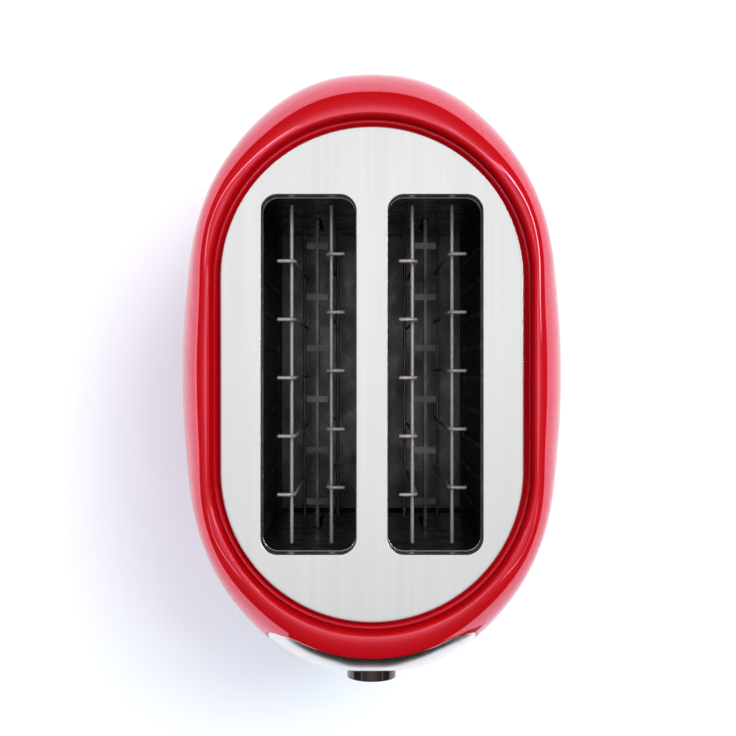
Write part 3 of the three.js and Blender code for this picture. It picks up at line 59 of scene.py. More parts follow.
# Body, in millimetres about its own middle
BASE_Z = 14.0
WIDEST_Z = 125.0
CREST_Z = 190.0
UNDER_CREST_Z = CREST_Z - 1e-6
WIDEST_HALF_WIDTH = 81.7
WIDEST_HALF_LENGTH = 129.5
BASE_TUCK = 4.3
PLATE_HALF_WIDTH = 60.85
PLATE_HALF_LENGTH = 99.5
PLATE_Z = 186.0
RIM_WIDTH = 5.1
SHELL_WALL = 1.2
INNER_CREST_Z = CREST_Z - SHELL_WALL - 0.5
TUCK_POWER = 3.0
CROWN_POWER = 2.07
SHOULDER_POWER = 0.9
SHOULDER_SHARPNESS = 7.8
OUTLINE_POWER = 2.24
OVAL_POWER = 0.43
BODY_COLUMNS = 288
LOW_ROWS = 14
CROWN_ROWS = 44
INNER_LOW_ROWS = 6
INNER_CROWN_ROWS = 12
ARC_STEPS = 8
SMALL_ARC_STEPS = 6

# Rim: places out from the plate's edge and up from the plate, and the bead's height on sides and ends
CREST_OUT = 1.15
CREST_DROP = 1.3
CREST_UP = 4.0
RIM_INSIDE = ((3.8, 2.0), (3.6, 1.0), (3.4, 0.0), (3.3, -1.2), (3.15, -2.3), (2.95, -2.8), (2.7, -2.9))
BEAD_SIDE_UP = -2.0
BEAD_END_UP = -1.2
BEAD_CHANGE = 0.4
BEAD = ((2.46, -0.5), (2.42, 0.0), (2.0, -0.31), (1.6, -0.6), (1.2, -0.88), (0.8, -1.15), (0.5, -1.36),
        (0.4, -1.42))
RIM_FOOT = (0.38, -3.5)
LEDGE = ((-4.0, -3.6), (-4.0, -4.4), (4.4, -4.4), (4.6, 1.2))
RIM_BLOCK_REACH = 8.0
RIM_BLOCK_SIDES = 96

# Plate's edge and slots; the rim's places are out from the slot's edge and up from the plate
SHEET_INSET = 1.6
EDGE_RADIUS = 0.7
SKIRT_DROP = 1.2
SKIRT_INSET = 3.0
SLOT_X = 25.4
SLOT_HALF_WIDTH = 19.0
SLOT_HALF_LENGTH = 72.0
SLOT_CORNER = 6.5
SLOT_DROP = 9.0
SLOT_RIM_OUT = 1.3
SLOT_RIM_FLAT = 0.8
SLOT_BEND = 0.5
SLOT_BEND_CENTRE = (0.45, -0.5)
SLOT_WALL = ((-0.05, -1.2), (-0.05, -8.2), (-0.07, -8.45), (-0.11, -8.58), (-0.18, -8.62), (-0.23, -8.75),
             (-0.18, -SLOT_DROP), (0.75, -SLOT_DROP), (0.75, -1.5))
SLOT_LIP_UP = -8.2
SLOT_END_LIP = 2.0

# Control panel on the front, and what is cut through it and the shell
PANEL_HALF_WIDTH = 43.6
PANEL_CORNER = 14.6
PANEL_TOP_Z = 186.0
PANEL_LAP = 2.5
PANEL_INSET = 1.3
PANEL_SIDE_INSET = 0.3
PANEL_FLUSH_X = 27.0
PANEL_FLANGE_INSET = 1.7
PANEL_BACK_INSET = 2.5
PANEL_LIFT = 0.2
PANEL_RIM_GAP = 0.5
PANEL_MARGIN = 1.0
PANEL_COLUMNS = 44
PANEL_ROWS = 56
PANEL_ROW_POWER = 1.6
ARCH_STEPS = 24
ARCH_SIDE_STEPS = 30
ARCH_TOP_STEPS = 20
LIP_RADIUS = 0.65
LIP_GAP = 0.4
CUT_MARGIN = 5.0
CUT_BOTTOM_Z = BASE_Z - CUT_MARGIN
CUT_FRONT_Y = -WIDEST_HALF_LENGTH - CUT_MARGIN
WINDOW_BACK_Y = -20.0
PANEL_CUT_BACK_Y = -40.0
SHAFT_HOLE = 3.4
BUTTON_HOLE = 5.15

# Lever and its opening; profiles are radius and distance forward
TRACK_HALF_WIDTH = 11.8
TRACK_TOP = 135.0
TRACK_BOTTOM = 57.0
TRACK_CORNER = 7.0
SURROUND_WIDTH = 1.6
SURROUND_HEIGHT = 1.7
TRIM_SINK = 0.25
TRIM_POWER = 0.7
KNOB_HEIGHT = 122.0
KNOB_BACK = ((0.0, 0.0), (9.6, 0.0), (10.6, 0.3), (11.0, 1.0), (11.0, 6.0))
KNOB_EDGE = 0.8
KNOB_EDGE_CENTRE = (10.2, 11.9)
KNOB_FACE = ((9.0, 12.78), (6.0, 12.9), (0.0, 13.0))
KNOB_SOCKET = (2.3, 4.3, 0.4)
KNOB_SOCKET_DEPTH = 5.5

# Dial; its profile is in shares of radius and length
DIAL_HEIGHT = 35.0
DIAL_RING_WIDTH = 2.2
DIAL_RING_HEIGHT = 0.6
DIAL_FLUTES = 36
DIAL_FLUTE_STEPS = 8
DIAL_FLUTE_DEPTH = 0.55
DIAL_FLUTED_FROM = 0.95
DIAL_PROFILE = ((0.0, 0.0), (0.97, 0.0), (1.0, 0.03), (1.0, 0.80), (0.985, 0.85), (0.93, 0.90), (0.90, 0.94),
                (0.86, 0.985), (0.80, 1.0), (0.4, 1.0), (0.0, 1.0))
POINTER = (0.5, 3.2, 0.5)
POINTER_UP = 8.6
POINTER_DEPTH = 0.5
DIAL_BORE = 3.3
DIAL_BORE_DEPTH = 7.0

# Buttons
BUTTON_COLLAR_WIDTH = 1.3
BUTTON_COLLAR_LENGTH = 1.4
BUTTON_COLLAR_GAP = 0.4
BUTTON_STEM = 2.4
BUTTON_EDGE = 1.0
BUTTON_DISH = ((2.0, 0.25), (0.0, 0.35))
BUTTON_SEGMENTS = 48

# Guards: slot side, slot middle, place in the slot, way out from its middle
GUARDS = (("left", -SLOT_X, "outer", -1), ("left", -SLOT_X, "inner", 1),
          ("right", SLOT_X, "inner", -1), ("right", SLOT_X, "outer", 1))
WIRE_RADIUS = 0.82
GUARD_WIRE_END = 0.8
GUARD_BASE_Z = 38.0
GUARD_TOP_Z = 157.0
GUARD_TOP_HALF_LENGTH = 71.6
GUARD_OFFSET = 8.4
GUARD_PITCH = 24.39
GUARD_SHIFT = 1.5
GUARD_UPRIGHTS = 5
UPRIGHT_OFFSET = 1.53
UPRIGHT_LEVELS = (GUARD_BASE_Z - GUARD_WIRE_END, 70.0, 120.0, GUARD_TOP_Z)
UPRIGHT_RADIUS = WIRE_RADIUS * 0.92
TIP_BEND = 3.4
TIP_RISE = 5.6
TIP_REACH = 6.8

# Spring under the carriage
SPRING_RADIUS = 4.6
SPRING_WIRE = 0.6
SPRING_CURLS = 13
SPRING_CURL_STEPS = 24
SPRING_CLOSED = 1 / 13

# Feet, cord bush and tray grip; profiles are radius and height, or radius and distance in, and the
# grip's top edge is given in from its back and down from its top
FOOT_PROFILE = ((0.0, 0.4), (3.0, 0.4), (3.4, 0.02), (6.4, 0.0), (7.1, 0.35), (7.7, 1.2), (8.0, 2.4))
FOOT_RADIUS = 8.0
INLET_Z = 30.0
INLET_HOLE = 5.3
INLET_HOLE_Y = 60.0
INLET_PROFILE = ((3.0, 0.0), (6.6, 0.0), (7.3, 0.3), (7.5, 0.9), (7.5, 2.0), (5.0, 2.0), (5.0, 9.0),
                 (3.0, 9.0))
GRIP_WALL = 2.0
GRIP_HOOK = 5.6
GRIP_FILLET = 0.8
GRIP_TOP = ((GRIP_WALL, 0.4), (1.0, 0.0), (0.3, 0.4), (0.0, 1.2))
GRIP_CHAMFER = 1.5
GRIP_ENDS = ((0.0, 0.3), (0.15, 0.075), (0.6, 0.0))

# Rounded end of a wire: how far it stands out in shares of the radius, and its smallest ring
CAP_REACH = 0.8
CAP_TIP = 0.02

# Smallest angle between two faces that shows as an edge
SHARP = math.radians(35)
PLATE_SHARP = math.radians(40)
WIRE_SHARP = math.radians(50)
GRIP_SHARP = math.radians(30)

# Camera: straight down, at the height that the photograph's perspective gives
CAMERA_Z = 726.0
CAMERA_OFF_X = -1.6
CAMERA_OFF_Y = 2.6
FOCAL_PIXELS = 1350.0
FRAME_PIXELS = 736.0
SENSOR_MM = 36.0

# What reflections show of the screen overhead: share of its height, brightness
DOME_LEVELS = ((0.0, 0.04), (0.2, 0.05), (0.4, 0.07), (0.6, 0.11), (0.75, 0.18), (0.84, 0.33), (0.92, 0.60),
               (0.965, 0.88), (1.0, 1.02))
DOME_LEAN = 0.07
DOME_RADIUS = 3.0
DOME_RINGS = 40
DOME_SEGMENTS = 64
DOME_TOP = 0.995

# World and floor: fill light, floor colour, and its glow near the part and far from it, in metres
SIDE_FILL = 1.15
TOP_FILL = 0.42
FLOOR_SIZE = 4.0
FLOOR_COLOR = (0.87, 0.91, 0.92)
NEAR_GLOW = (0.156, 0.182, 0.26)
FAR_GLOW = (0.44, 0.42, 0.41)
GLOW_NEAR = 0.4
GLOW_FAR = 1.1

# Dark cloth on the floor in front, in metres, and its brightness far from the part and near it
FLOOR_FLAG = ((-1.6, -3.0), (-0.30, -0.60), (-0.170, -0.36), (-0.124, -0.358), (-0.075, -0.358),
              (-0.042, -0.325), (-0.012, -0.248), (0.012, -0.248), (0.041, -0.318), (0.083, -0.366),
              (0.130, -0.372), (0.136, -0.312), (0.112, -0.222), (0.135, -0.222), (0.165, -0.28),
              (0.24, -0.42), (0.32, -0.62), (1.3, -3.0))
FLAG_HEIGHT = 0.004
FLAG_COLOR = (1.0, 0.72, 0.76)
FLAG_DARK_Y = -0.36
FLAG_NEAR_Y = -0.24
FLAG_DARK = 0.012
FLAG_NEAR = 0.22

# Bright ribbons: width in degrees, brightness, and path in degrees off the zenith and round it
STREAK_RADIUS = 2.8
STREAK_STEPS = 8
STREAKS = {
    "right_streak": (5.0, 9.0, ((43, 44), (49, 38), (52, 30), (53, 24), (50, 16), (46, 10), (38, 5))),
    "right_back_streak": (2.5, 2.5, ((25, 68), (21, 62), (25, 54), (31, 48), (44, 43))),
    "left_streak": (3.5, 3.5, ((21, 112), (31, 125), (36, 133), (43, 141), (48, 150), (50, 158), (43, 164),
                               (36, 170))),
    "right_front_streak": (2.5, 1.5, ((34, -46), (44, -40), (53, -35), (54, -24), (38, -14))),
    "left_front_streak": (2.5, 2.0, ((34, -134), (41, -143), (51, -152), (40, -164))),
}

# Lamps: place, size, watts and colour
LAMP_TARGET = (0.0, 0.0, 0.1)
LAMPS = {
    "key_lamp": ((0.55, 0.45, 1.5), (0.7, 0.7), 16.0, (1.0, 0.985, 0.96)),
    "left_fill": ((-1.5, -0.1, 0.4), (0.9, 0.5), 6.0, (1.0, 0.97, 0.98)),
}
WHITE = (1.0, 1.0, 1.0)


# Places and measures

Corner = namedtuple("Corner", "x y z")


def point(x, y, z):
    """A place given in millimetres about the body's middle, in the frame's metres."""
    return Vector(((x + CENTRE_X) * MM, (y + CENTRE_Y) * MM, z * MM))


def measure(corners):
    """A box's lowest corner, middle and highest corner, in millimetres about the body's middle."""
    low, high = (Corner(at.x / MM - CENTRE_X, at.y / MM - CENTRE_Y, at.z / MM) for at in corners)
    return low, Corner(*((a + b) / 2 for a, b in zip(low, high))), high


def between(low, high, share):
    return low + (high - low) * share


def sweep(start, end, steps):
    """Angles from start to end, which are given in quarter turns."""
    return [math.pi / 2 * between(start, end, step / steps) for step in range(steps + 1)]


def full_turn(steps):
    return sweep(0, 4, steps)[:-1]


def turned(angle, radius, centre=(0.0, 0.0)):
    """The place on a circle in a plane at an angle."""
    return centre[0] + radius * math.cos(angle), centre[1] + radius * math.sin(angle)


def around(angles, radius, centre=(0.0, 0.0)):
    return [turned(angle, radius, centre) for angle in angles]


def circle(radius, centre=(0.0, 0.0), steps=96):
    return around(full_turn(steps), radius, centre)


def rounded_rectangle(half_width, half_height, radius, centre=(0.0, 0.0), steps=10):
    outline = []
    for corner, (sign_x, sign_y) in enumerate(((1, 1), (-1, 1), (-1, -1), (1, -1))):
        middle = (centre[0] + sign_x * (half_width - radius), centre[1] + sign_y * (half_height - radius))
        outline += around(sweep(corner, corner + 1, steps), radius, middle)
    return outline


def straight(start, end, steps):
    """Places on a straight line in a plane, without its last one."""
    return [(between(start[0], end[0], step / steps), between(start[1], end[1], step / steps))
            for step in range(steps)]


def at_height(loop, z):
    return [point(x, y, z) for x, y in loop]


# Outline of the body as functions of height and angle


def stadium_reach(angle, half_width, half_length):
    flat = half_length - half_width
    across = abs(math.cos(angle))
    along = abs(math.sin(angle))
    if half_width * along <= flat * across:
        return half_width / across
    chord = half_width ** 2 - (flat * across) ** 2
    return flat * along + math.sqrt(chord)


def oval_reach(angle, half_width, half_length):
    across = (abs(math.cos(angle)) / half_width) ** OUTLINE_POWER
    along = (abs(math.sin(angle)) / half_length) ** OUTLINE_POWER
    return (across + along) ** (-1 / OUTLINE_POWER)


def plate_reach(angle, out):
    """How far the plate's outline reaches when it is grown by out."""
    return stadium_reach(angle, PLATE_HALF_WIDTH + out, PLATE_HALF_LENGTH + out)


def stadium_loop(out, steps=240, first=0.0):
    """The plate's outline grown by out; it starts so many steps round."""
    loop = []
    for step in range(steps):
        angle = 2 * math.pi * (step + first) / steps
        loop.append(turned(angle, plate_reach(angle, out)))
    return loop


def body_level(angle, z, inset=0.0):
    """Half width, half length and oval share of the surface inset from the body's outside."""
    if z <= WIDEST_Z:
        tuck = ((WIDEST_Z - z) / (WIDEST_Z - BASE_Z)) ** TUCK_POWER * BASE_TUCK + inset
        return WIDEST_HALF_WIDTH - tuck, WIDEST_HALF_LENGTH - tuck, 1.0
    up_share = min(1.0, (z - WIDEST_Z) / (CREST_Z - inset - WIDEST_Z))
    power = CROWN_POWER + SHOULDER_POWER * abs(math.sin(2 * angle)) ** SHOULDER_SHARPNESS
    out_share = (1 - up_share ** power) ** (1 / power)
    half_width = between(PLATE_HALF_WIDTH + RIM_WIDTH, WIDEST_HALF_WIDTH, out_share) - inset
    half_length = between(PLATE_HALF_LENGTH + RIM_WIDTH, WIDEST_HALF_LENGTH, out_share) - inset
    return half_width, half_length, out_share ** OVAL_POWER


def body_reach(angle, z, inset=0.0):
    half_width, half_length, oval_share = body_level(angle, z, inset)
    stadium = stadium_reach(angle, half_width, half_length)
    return between(stadium, oval_reach(angle, half_width, half_length), oval_share)


def front_y(x, z, inset=0.0, halvings=40):
    """Where the front of the body lies at x and z."""
    low = 0.0
    high = math.pi / 2
    for _ in range(halvings):
        middle = (low + high) / 2
        if body_reach(middle, z, inset) * math.cos(middle) > abs(x):
            low = middle
        else:
            high = middle
    return -body_reach(low, z, inset) * math.sin(low)


# Mesh building


def link_object(name, data):
    obj = bpy.data.objects.new(name, data)
    bpy.context.scene.collection.objects.link(obj)
    return obj


def shade(obj, sharp_angle=SHARP):
    obj.data.shade_smooth()
    obj.data.set_sharp_from_angle(angle=sharp_angle)


def tidy_mesh(obj, sharp_angle):
    work = bmesh.new()
    work.from_mesh(obj.data)
    bmesh.ops.remove_doubles(work, verts=work.verts, dist=1e-7)
    bmesh.ops.recalc_face_normals(work, faces=work.faces)
    work.to_mesh(obj.data)
    work.free()
    shade(obj, sharp_angle)


def make_object(name, vertices, faces, sharp_angle=SHARP):
    mesh = bpy.data.meshes.new(name)
    mesh.from_pydata([tuple(vertex) for vertex in vertices], [], faces)
    mesh.validate()
    obj = link_object(name, mesh)
    tidy_mesh(obj, sharp_angle)
    return obj


def grid_faces(rows, columns, close_rows, close_columns):
    faces = []
    for row in range(rows if close_rows else rows - 1):
        for column in range(columns if close_columns else columns - 1):
            here = row * columns
            after = (row + 1) % rows * columns
            beside = (column + 1) % columns
            faces.append((here + column, here + beside, after + beside, after + column))
    return faces


def grid_object(name, rows, close_rows=False, close_columns=True):
    vertices = [vertex for row in rows for vertex in row]
    return make_object(name, vertices, grid_faces(len(rows), len(rows[0]), close_rows, close_columns))


def capped_grid(name, rows, sharp_angle=SHARP):
    """Rows of closed rings with a fan at each end."""
    vertices = [vertex for row in rows for vertex in row]
    columns = len(rows[0])
    faces = grid_faces(len(rows), columns, False, True)
    for row, flip in ((0, True), (len(rows) - 1, False)):
        middle = len(vertices)
        vertices.append(sum(rows[row], Vector()) / columns)
        for column in range(columns):
            a = row * columns + column
            b = row * columns + (column + 1) % columns
            faces.append((b, a, middle) if flip else (a, b, middle))
    return make_object(name, vertices, faces, sharp_angle)


def join(name, objects):
    """One object from several, their meshes put together."""
    work = bmesh.new()
    for obj in objects:
        work.from_mesh(obj.data)
        bpy.data.objects.remove(obj)
    mesh = bpy.data.meshes.new(name)
    work.to_mesh(mesh)
    work.free()
    return link_object(name, mesh)


def evaluated_mesh(obj):
    graph = bpy.context.evaluated_depsgraph_get()
    graph.update()
    return bpy.data.meshes.new_from_object(obj.evaluated_get(graph))


def boolean(obj, cutter, operation="DIFFERENCE"):
    modifier = obj.modifiers.new("cut", "BOOLEAN")
    modifier.operation = operation
    modifier.solver = "EXACT"
    modifier.object = cutter
    mesh = evaluated_mesh(obj)
    obj.modifiers.clear()
    obj.data = mesh
    bpy.data.objects.remove(cutter)
    shade(obj)
    return obj


def prism(name, outline, y_low, y_high):
    """A solid from an outline in x and z, extruded along y."""
    vertices = [point(x, y, z) for y in (y_low, y_high) for x, z in outline]
    count = len(outline)
    faces = grid_faces(2, count, False, True)
    faces.append(tuple(range(count)))
    faces.append(tuple(range(2 * count - 1, count - 1, -1)))
    return make_object(name, vertices, faces)


def lathe_forward(name, profile, x, y, z, segments=96):
    """A revolved piece on an axis to the front; its profile is radius and distance forward of y."""
    rows = [[point(side, y - ahead, up) for side, up in circle(radius, (x, z), segments)]
            for radius, ahead in profile]
    return capped_grid(name, rows)


def lathe_up(name, profile, x, y, segments=64):
    rows = [at_height(circle(radius, (x, y), segments), z) for radius, z in profile]
    return capped_grid(name, rows)


def tube(name, path, radius, sides=14):
    """A round wire along a path in millimetres, its ends rounded."""
    places = [Vector(place) for place in path]
    start_way = (places[1] - places[0]).normalized()
    end_way = (places[-1] - places[-2]).normalized()
    caps = [(radius * share * CAP_REACH, math.sqrt(1 - share ** 2) * radius) for share in (0.3, 0.7, 1.0)]
    stations = [(places[0] - start_way * beyond, size) for beyond, size in reversed(caps)]
    stations += [(place, radius) for place in places]
    stations += [(places[-1] + end_way * beyond, size) for beyond, size in caps]
    rows = []
    normal = start_way.orthogonal().normalized()
    for index, (place, size) in enumerate(stations):
        before = stations[max(0, index - 1)][0]
        after = stations[min(len(stations) - 1, index + 1)][0]
        way = (after - before).normalized()
        normal = (normal - way * normal.dot(way)).normalized()
        other = way.cross(normal)
        rows.append([point(*(place + normal * across + other * along))
                     for across, along in circle(max(size, CAP_TIP), steps=sides)])
    return capped_grid(name, rows)


# Materials


class Graph:
    """The node tree of a material or the world, with short calls for what several share."""

    def __init__(self, owner):
        owner.use_nodes = True
        self.nodes = owner.node_tree.nodes
        self.links = owner.node_tree.links

    def coordinates(self, output="Object"):
        return self.nodes.new("ShaderNodeTexCoord").outputs[output]

    def axis(self, source, name):
        parts = self.nodes.new("ShaderNodeSeparateXYZ")
        self.links.new(source, parts.inputs["Vector"])
        return parts.outputs[name]

    def map_range(self, source, to_low, to_high, from_low=0.0, from_high=1.0):
        scale = self.nodes.new("ShaderNodeMapRange")
        scale.inputs["From Min"].default_value = from_low
        scale.inputs["From Max"].default_value = from_high
        scale.inputs["To Min"].default_value = to_low
        scale.inputs["To Max"].default_value = to_high
        self.links.new(source, scale.inputs["Value"])
        return scale

    def color_ramp(self, source, *stops):
        """Colours along a value, from pairs of position and colour."""
        ramp = self.nodes.new("ShaderNodeValToRGB")
        elements = ramp.color_ramp.elements
        for index in (0, -1):
            elements[index].position = stops[index][0]
            elements[index].color = (*stops[index][1], 1.0)
        for position, color in stops[1:-1]:
            elements.new(position).color = (*color, 1.0)
        self.links.new(source, ramp.inputs["Fac"])
        return ramp.outputs["Color"]

    def seen(self):
        """1 for camera, glossy and transmission rays, otherwise 0."""
        path = self.nodes.new("ShaderNodeLightPath")
        level = path.outputs["Is Camera Ray"]
        for kind in ("Is Glossy Ray", "Is Transmission Ray"):
            larger = self.nodes.new("ShaderNodeMath")
            larger.operation = "MAXIMUM"
            self.links.new(level, larger.inputs[0])
            self.links.new(path.outputs[kind], larger.inputs[1])
            level = larger.outputs["Value"]
        return level


class Shader(Graph):
    """A material around one Principled shader."""

    def __init__(self, name, color, roughness, metallic=0.0):
        self.material = bpy.data.materials.new(name)
        super().__init__(self.material)
        self.inputs = self.nodes["Principled BSDF"].inputs
        self.set({"Base Color": (*color, 1.0), "Roughness": roughness, "Metallic": metallic})
        self.place = self.coordinates()

    def set(self, values):
        for name, value in values.items():
            self.inputs[name].default_value = value

    def noise(self, scale, detail=4.0, stretch=(1.0, 1.0, 1.0), distortion=0.0):
        mapping = self.nodes.new("ShaderNodeMapping")
        mapping.inputs["Scale"].default_value = stretch
        self.links.new(self.place, mapping.inputs["Vector"])
        noise = self.nodes.new("ShaderNodeTexNoise")
        noise.inputs["Scale"].default_value = scale
        noise.inputs["Detail"].default_value = detail
        noise.inputs["Distortion"].default_value = distortion
        self.links.new(mapping.outputs["Vector"], noise.inputs["Vector"])
        return noise.outputs["Fac"]

    def vary_roughness(self, source, low, high):
        scale = self.map_range(source, low, high, *NOISE_SPAN)
        self.links.new(scale.outputs["Result"], self.inputs["Roughness"])

    def vary_color(self, source, dark, light):
        color = self.color_ramp(source, (NOISE_SPAN[0], dark), (NOISE_SPAN[1], light))
        self.links.new(color, self.inputs["Base Color"])

    def bump(self, source, strength, distance_mm):
        bump = self.nodes.new("ShaderNodeBump")
        bump.inputs["Strength"].default_value = strength
        bump.inputs["Distance"].default_value = distance_mm * MM
        self.links.new(source, bump.inputs["Height"])
        self.links.new(bump.outputs["Normal"], self.inputs["Normal"])


class Glow(Graph):
    """A material that only shines."""

    def __init__(self, name, color=WHITE, strength=1.0):
        self.material = bpy.data.materials.new(name)
        super().__init__(self.material)
        self.nodes.clear()
        output = self.nodes.new("ShaderNodeOutputMaterial")
        emission = self.nodes.new("ShaderNodeEmission")
        self.inputs = emission.inputs
        self.inputs["Color"].default_value = (*color, 1.0)
        self.inputs["Strength"].default_value = strength
        self.links.new(emission.outputs["Emission"], output.inputs["Surface"])


# The span in which nearly all of a noise texture's values lie. Below, a noise call gives scale and
# detail, a bump its strength and its depth in millimetres.
NOISE_SPAN = (0.3, 0.7)


def tone(color, factor):
    return tuple(min(1.0, value * factor) for value in color)


def paint_material():
    """Glossy red stove paint with a trace of orange peel; its sheen is slightly rosy."""
    made = Shader("red_gloss_paint", (0.54, 0.002, 0.005), 0.04)
    made.set({"IOR": 2.0, "Specular IOR Level": 1.0, "Specular Tint": (1.0, 0.36, 0.52, 1.0)})
    made.vary_color(made.noise(18.0, 3.0), (0.52, 0.0015, 0.004), (0.56, 0.002, 0.006))
    made.vary_roughness(made.noise(60.0, 2.0), 0.03, 0.05)
    made.bump(made.noise(900.0, 2.0), 0.03, 0.05)
    return made.material


def brushed_material(name, color, roughness, stretch):
    """Brushed steel: long fine scratches along one direction."""
    made = Shader(name, color, roughness, 1.0)
    scratches = made.noise(260.0, 6.0, stretch)
    made.vary_color(scratches, tone(color, 0.965), tone(color, 1.02))
    made.vary_roughness(made.noise(9.0, 2.0), roughness - 0.03, roughness + 0.04)
    made.bump(scratches, 0.05, 0.03)
    return made.material


def bright_material(name, color, roughness, metallic=1.0):
    """Polished plated metal with faint handling marks."""
    made = Shader(name, color, roughness, metallic)
    made.vary_roughness(made.noise(140.0, 5.0), roughness * 0.8, roughness * 1.5)
    made.vary_color(made.noise(60.0, 2.0), tone(color, 0.96), color)
    return made.material


def plastic_material(name, color, roughness, grain=1600.0, strength=0.12):
    """Moulded plastic with a fine spark-eroded grain."""
    made = Shader(name, color, roughness)
    made.bump(made.noise(grain, 2.0), strength, 0.05)
    made.vary_roughness(made.noise(40.0, 3.0), roughness - 0.04, roughness + 0.06)
    made.vary_color(made.noise(25.0, 2.0), tone(color, 0.85), tone(color, 1.15))
    return made.material


def mica_material():
    """Heater board of mica with flaky layers; its near-black colour is painted shade of the deep slots."""
    made = Shader("slot_shade_mica", (0.035, 0.030, 0.027), 0.45)
    flakes = made.noise(120.0, 6.0, (1.0, 1.0, 0.3), 1.5)
    made.vary_color(flakes, (0.020, 0.017, 0.016), (0.060, 0.052, 0.046))
    made.bump(flakes, 0.25, 0.15)
    return made.material


def slot_shade_steel_material():
    """Chassis steel inside the slots, glossy with blotchy heat stains; its dark colour is painted shade of
    the deep slots.
    """
    made = Shader("slot_shade_chassis_steel", (0.10, 0.10, 0.105), 0.28, 0.85)
    stain = made.noise(35.0, 5.0, distortion=0.8)
    made.vary_color(stain, (0.055, 0.053, 0.055), (0.15, 0.148, 0.15))
    made.vary_roughness(made.noise(90.0, 3.0), 0.2, 0.38)
    return made.material


def laminate_material():
    made = Shader("board_laminate", (0.02, 0.10, 0.045), 0.4)
    weave = made.noise(500.0, 2.0)
    made.vary_color(weave, (0.015, 0.085, 0.035), (0.03, 0.12, 0.055))
    made.bump(weave, 0.1, 0.05)
    return made.material


def copper_material():
    made = Shader("coil_copper", (0.55, 0.22, 0.08), 0.35, 1.0)
    turns = made.noise(30.0, 2.0, (0.2, 0.2, 18.0))
    made.vary_color(turns, (0.35, 0.12, 0.04), (0.70, 0.30, 0.12))
    made.bump(turns, 0.4, 0.2)
    return made.material


def knob_material():
    """Dark bronze-black metallised plastic, as on a plated lever knob."""
    made = Shader("dark_plated_knob", (0.06, 0.032, 0.036), 0.16, 0.75)
    made.set({"Coat Weight": 0.8, "Coat Roughness": 0.06})
    made.vary_color(made.noise(30.0, 3.0), (0.050, 0.027, 0.031), (0.075, 0.042, 0.047))
    made.vary_roughness(made.noise(200.0, 3.0), 0.12, 0.22)
    return made.material


paint = paint_material()
plate_steel = brushed_material("brushed_plate_steel", (0.87, 0.87, 0.875), 0.27, (1.0, 0.02, 1.0))
# The panel steel's rosy tint is a painted reflection, not the steel's own colour.
panel_steel = brushed_material("brushed_panel_steel", (0.74, 0.685, 0.68), 0.22, (1.0, 1.0, 0.02))
trim_chrome = bright_material("trim_chrome", (0.86, 0.86, 0.87), 0.08)
wire_chrome = bright_material("guard_wire_plating", (0.56, 0.525, 0.505), 0.38, 0.55)
slot_shade_chassis_steel = slot_shade_steel_material()
works_steel = bright_material("zinc_plated_steel", (0.45, 0.46, 0.47), 0.35)
slot_shade_mica = mica_material()
ribbon_metal = bright_material("heating_ribbon_alloy", (0.16, 0.145, 0.135), 0.35)
black_plastic = plastic_material("black_moulded_plastic", (0.018, 0.018, 0.020), 0.45)
button_plastic = plastic_material("satin_black_plastic", (0.022, 0.018, 0.019), 0.28, 2400.0, 0.05)
foot_rubber = plastic_material("foot_rubber", (0.015, 0.015, 0.015), 0.8, 900.0, 0.3)
knob_plating = knob_material()
coil_copper = copper_material()
laminate = laminate_material()


def dress(obj, material, body, slot, *nodes):
    """Gives a new piece its material and the body it rides on, and hides the nodes it stands for; slot is not
    used.
    """
    obj.data.materials.clear()
    obj.data.materials.append(material)
    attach(obj, body)
    if nodes:
        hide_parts(*nodes)
    return obj


# Body shell with its rim


def rim_profile(angle):
    """Distance out from the plate's edge and height above the plate, from the crest inwards."""
    places = []
    for turn in sweep(0, 1, ARC_STEPS)[1:]:
        places.append((RIM_WIDTH - CREST_OUT * math.sin(turn), CREST_UP - CREST_DROP * (1 - math.cos(turn))))
    places += RIM_INSIDE
    share = (abs(math.sin(angle)) - BEAD_CHANGE) / BEAD_CHANGE
    bead = between(BEAD_SIDE_UP, BEAD_END_UP, min(1.0, max(0.0, share)))
    places += [(out, bead + up) for out, up in BEAD]
    places.append(RIM_FOOT)
    return places


def shell_column(angle):
    """One closed section of the shell: outside, rim, ledge, channel and inside."""
    column = []
    for row in range(LOW_ROWS):
        z = between(BASE_Z, WIDEST_Z, row / LOW_ROWS)
        column.append((body_reach(angle, z), z))
    for turn in sweep(0, 1, CROWN_ROWS):
        z = between(WIDEST_Z, CREST_Z, math.sin(turn))
        column.append((body_reach(angle, min(z, UNDER_CREST_Z)), z))
    for out, up in (*rim_profile(angle), *LEDGE):
        column.append((plate_reach(angle, out), PLATE_Z + up))
    inner = [between(WIDEST_Z, INNER_CREST_Z, math.sin(turn)) for turn in sweep(1, 0, INNER_CROWN_ROWS)]
    for row in reversed(range(INNER_LOW_ROWS)):
        inner.append(between(BASE_Z, WIDEST_Z, row / INNER_LOW_ROWS))
    return column + [(body_reach(angle, z, SHELL_WALL), z) for z in inner]


def panel_outline(grow, bottom):
    half_width = PANEL_HALF_WIDTH + grow
    radius = PANEL_CORNER + grow
    up = PANEL_TOP_Z + grow - radius
    outline = [(-half_width, bottom), (half_width, bottom)]
    outline += around(sweep(0, 1, ARCH_STEPS), radius, (half_width - radius, up))
    return outline + around(sweep(1, 2, ARCH_STEPS), radius, (radius - half_width, up))


def arch_path(inset):
    """The window's edge on the body's surface, from low left over the arch to low right."""
    right_foot, *arch = panel_outline(0.0, BASE_Z)[1:]
    arch.reverse()
    left = arch[:ARCH_STEPS + 1]
    right = arch[ARCH_STEPS + 1:]
    places = straight((-PANEL_HALF_WIDTH, BASE_Z), left[0], ARCH_SIDE_STEPS) + left
    places += straight(left[-1], right[0], ARCH_TOP_STEPS)[1:] + right
    places += straight(right[-1], right_foot, ARCH_SIDE_STEPS)[1:]
    return [(x, front_y(x, z, inset), z) for x, z in (*places, right_foot)]


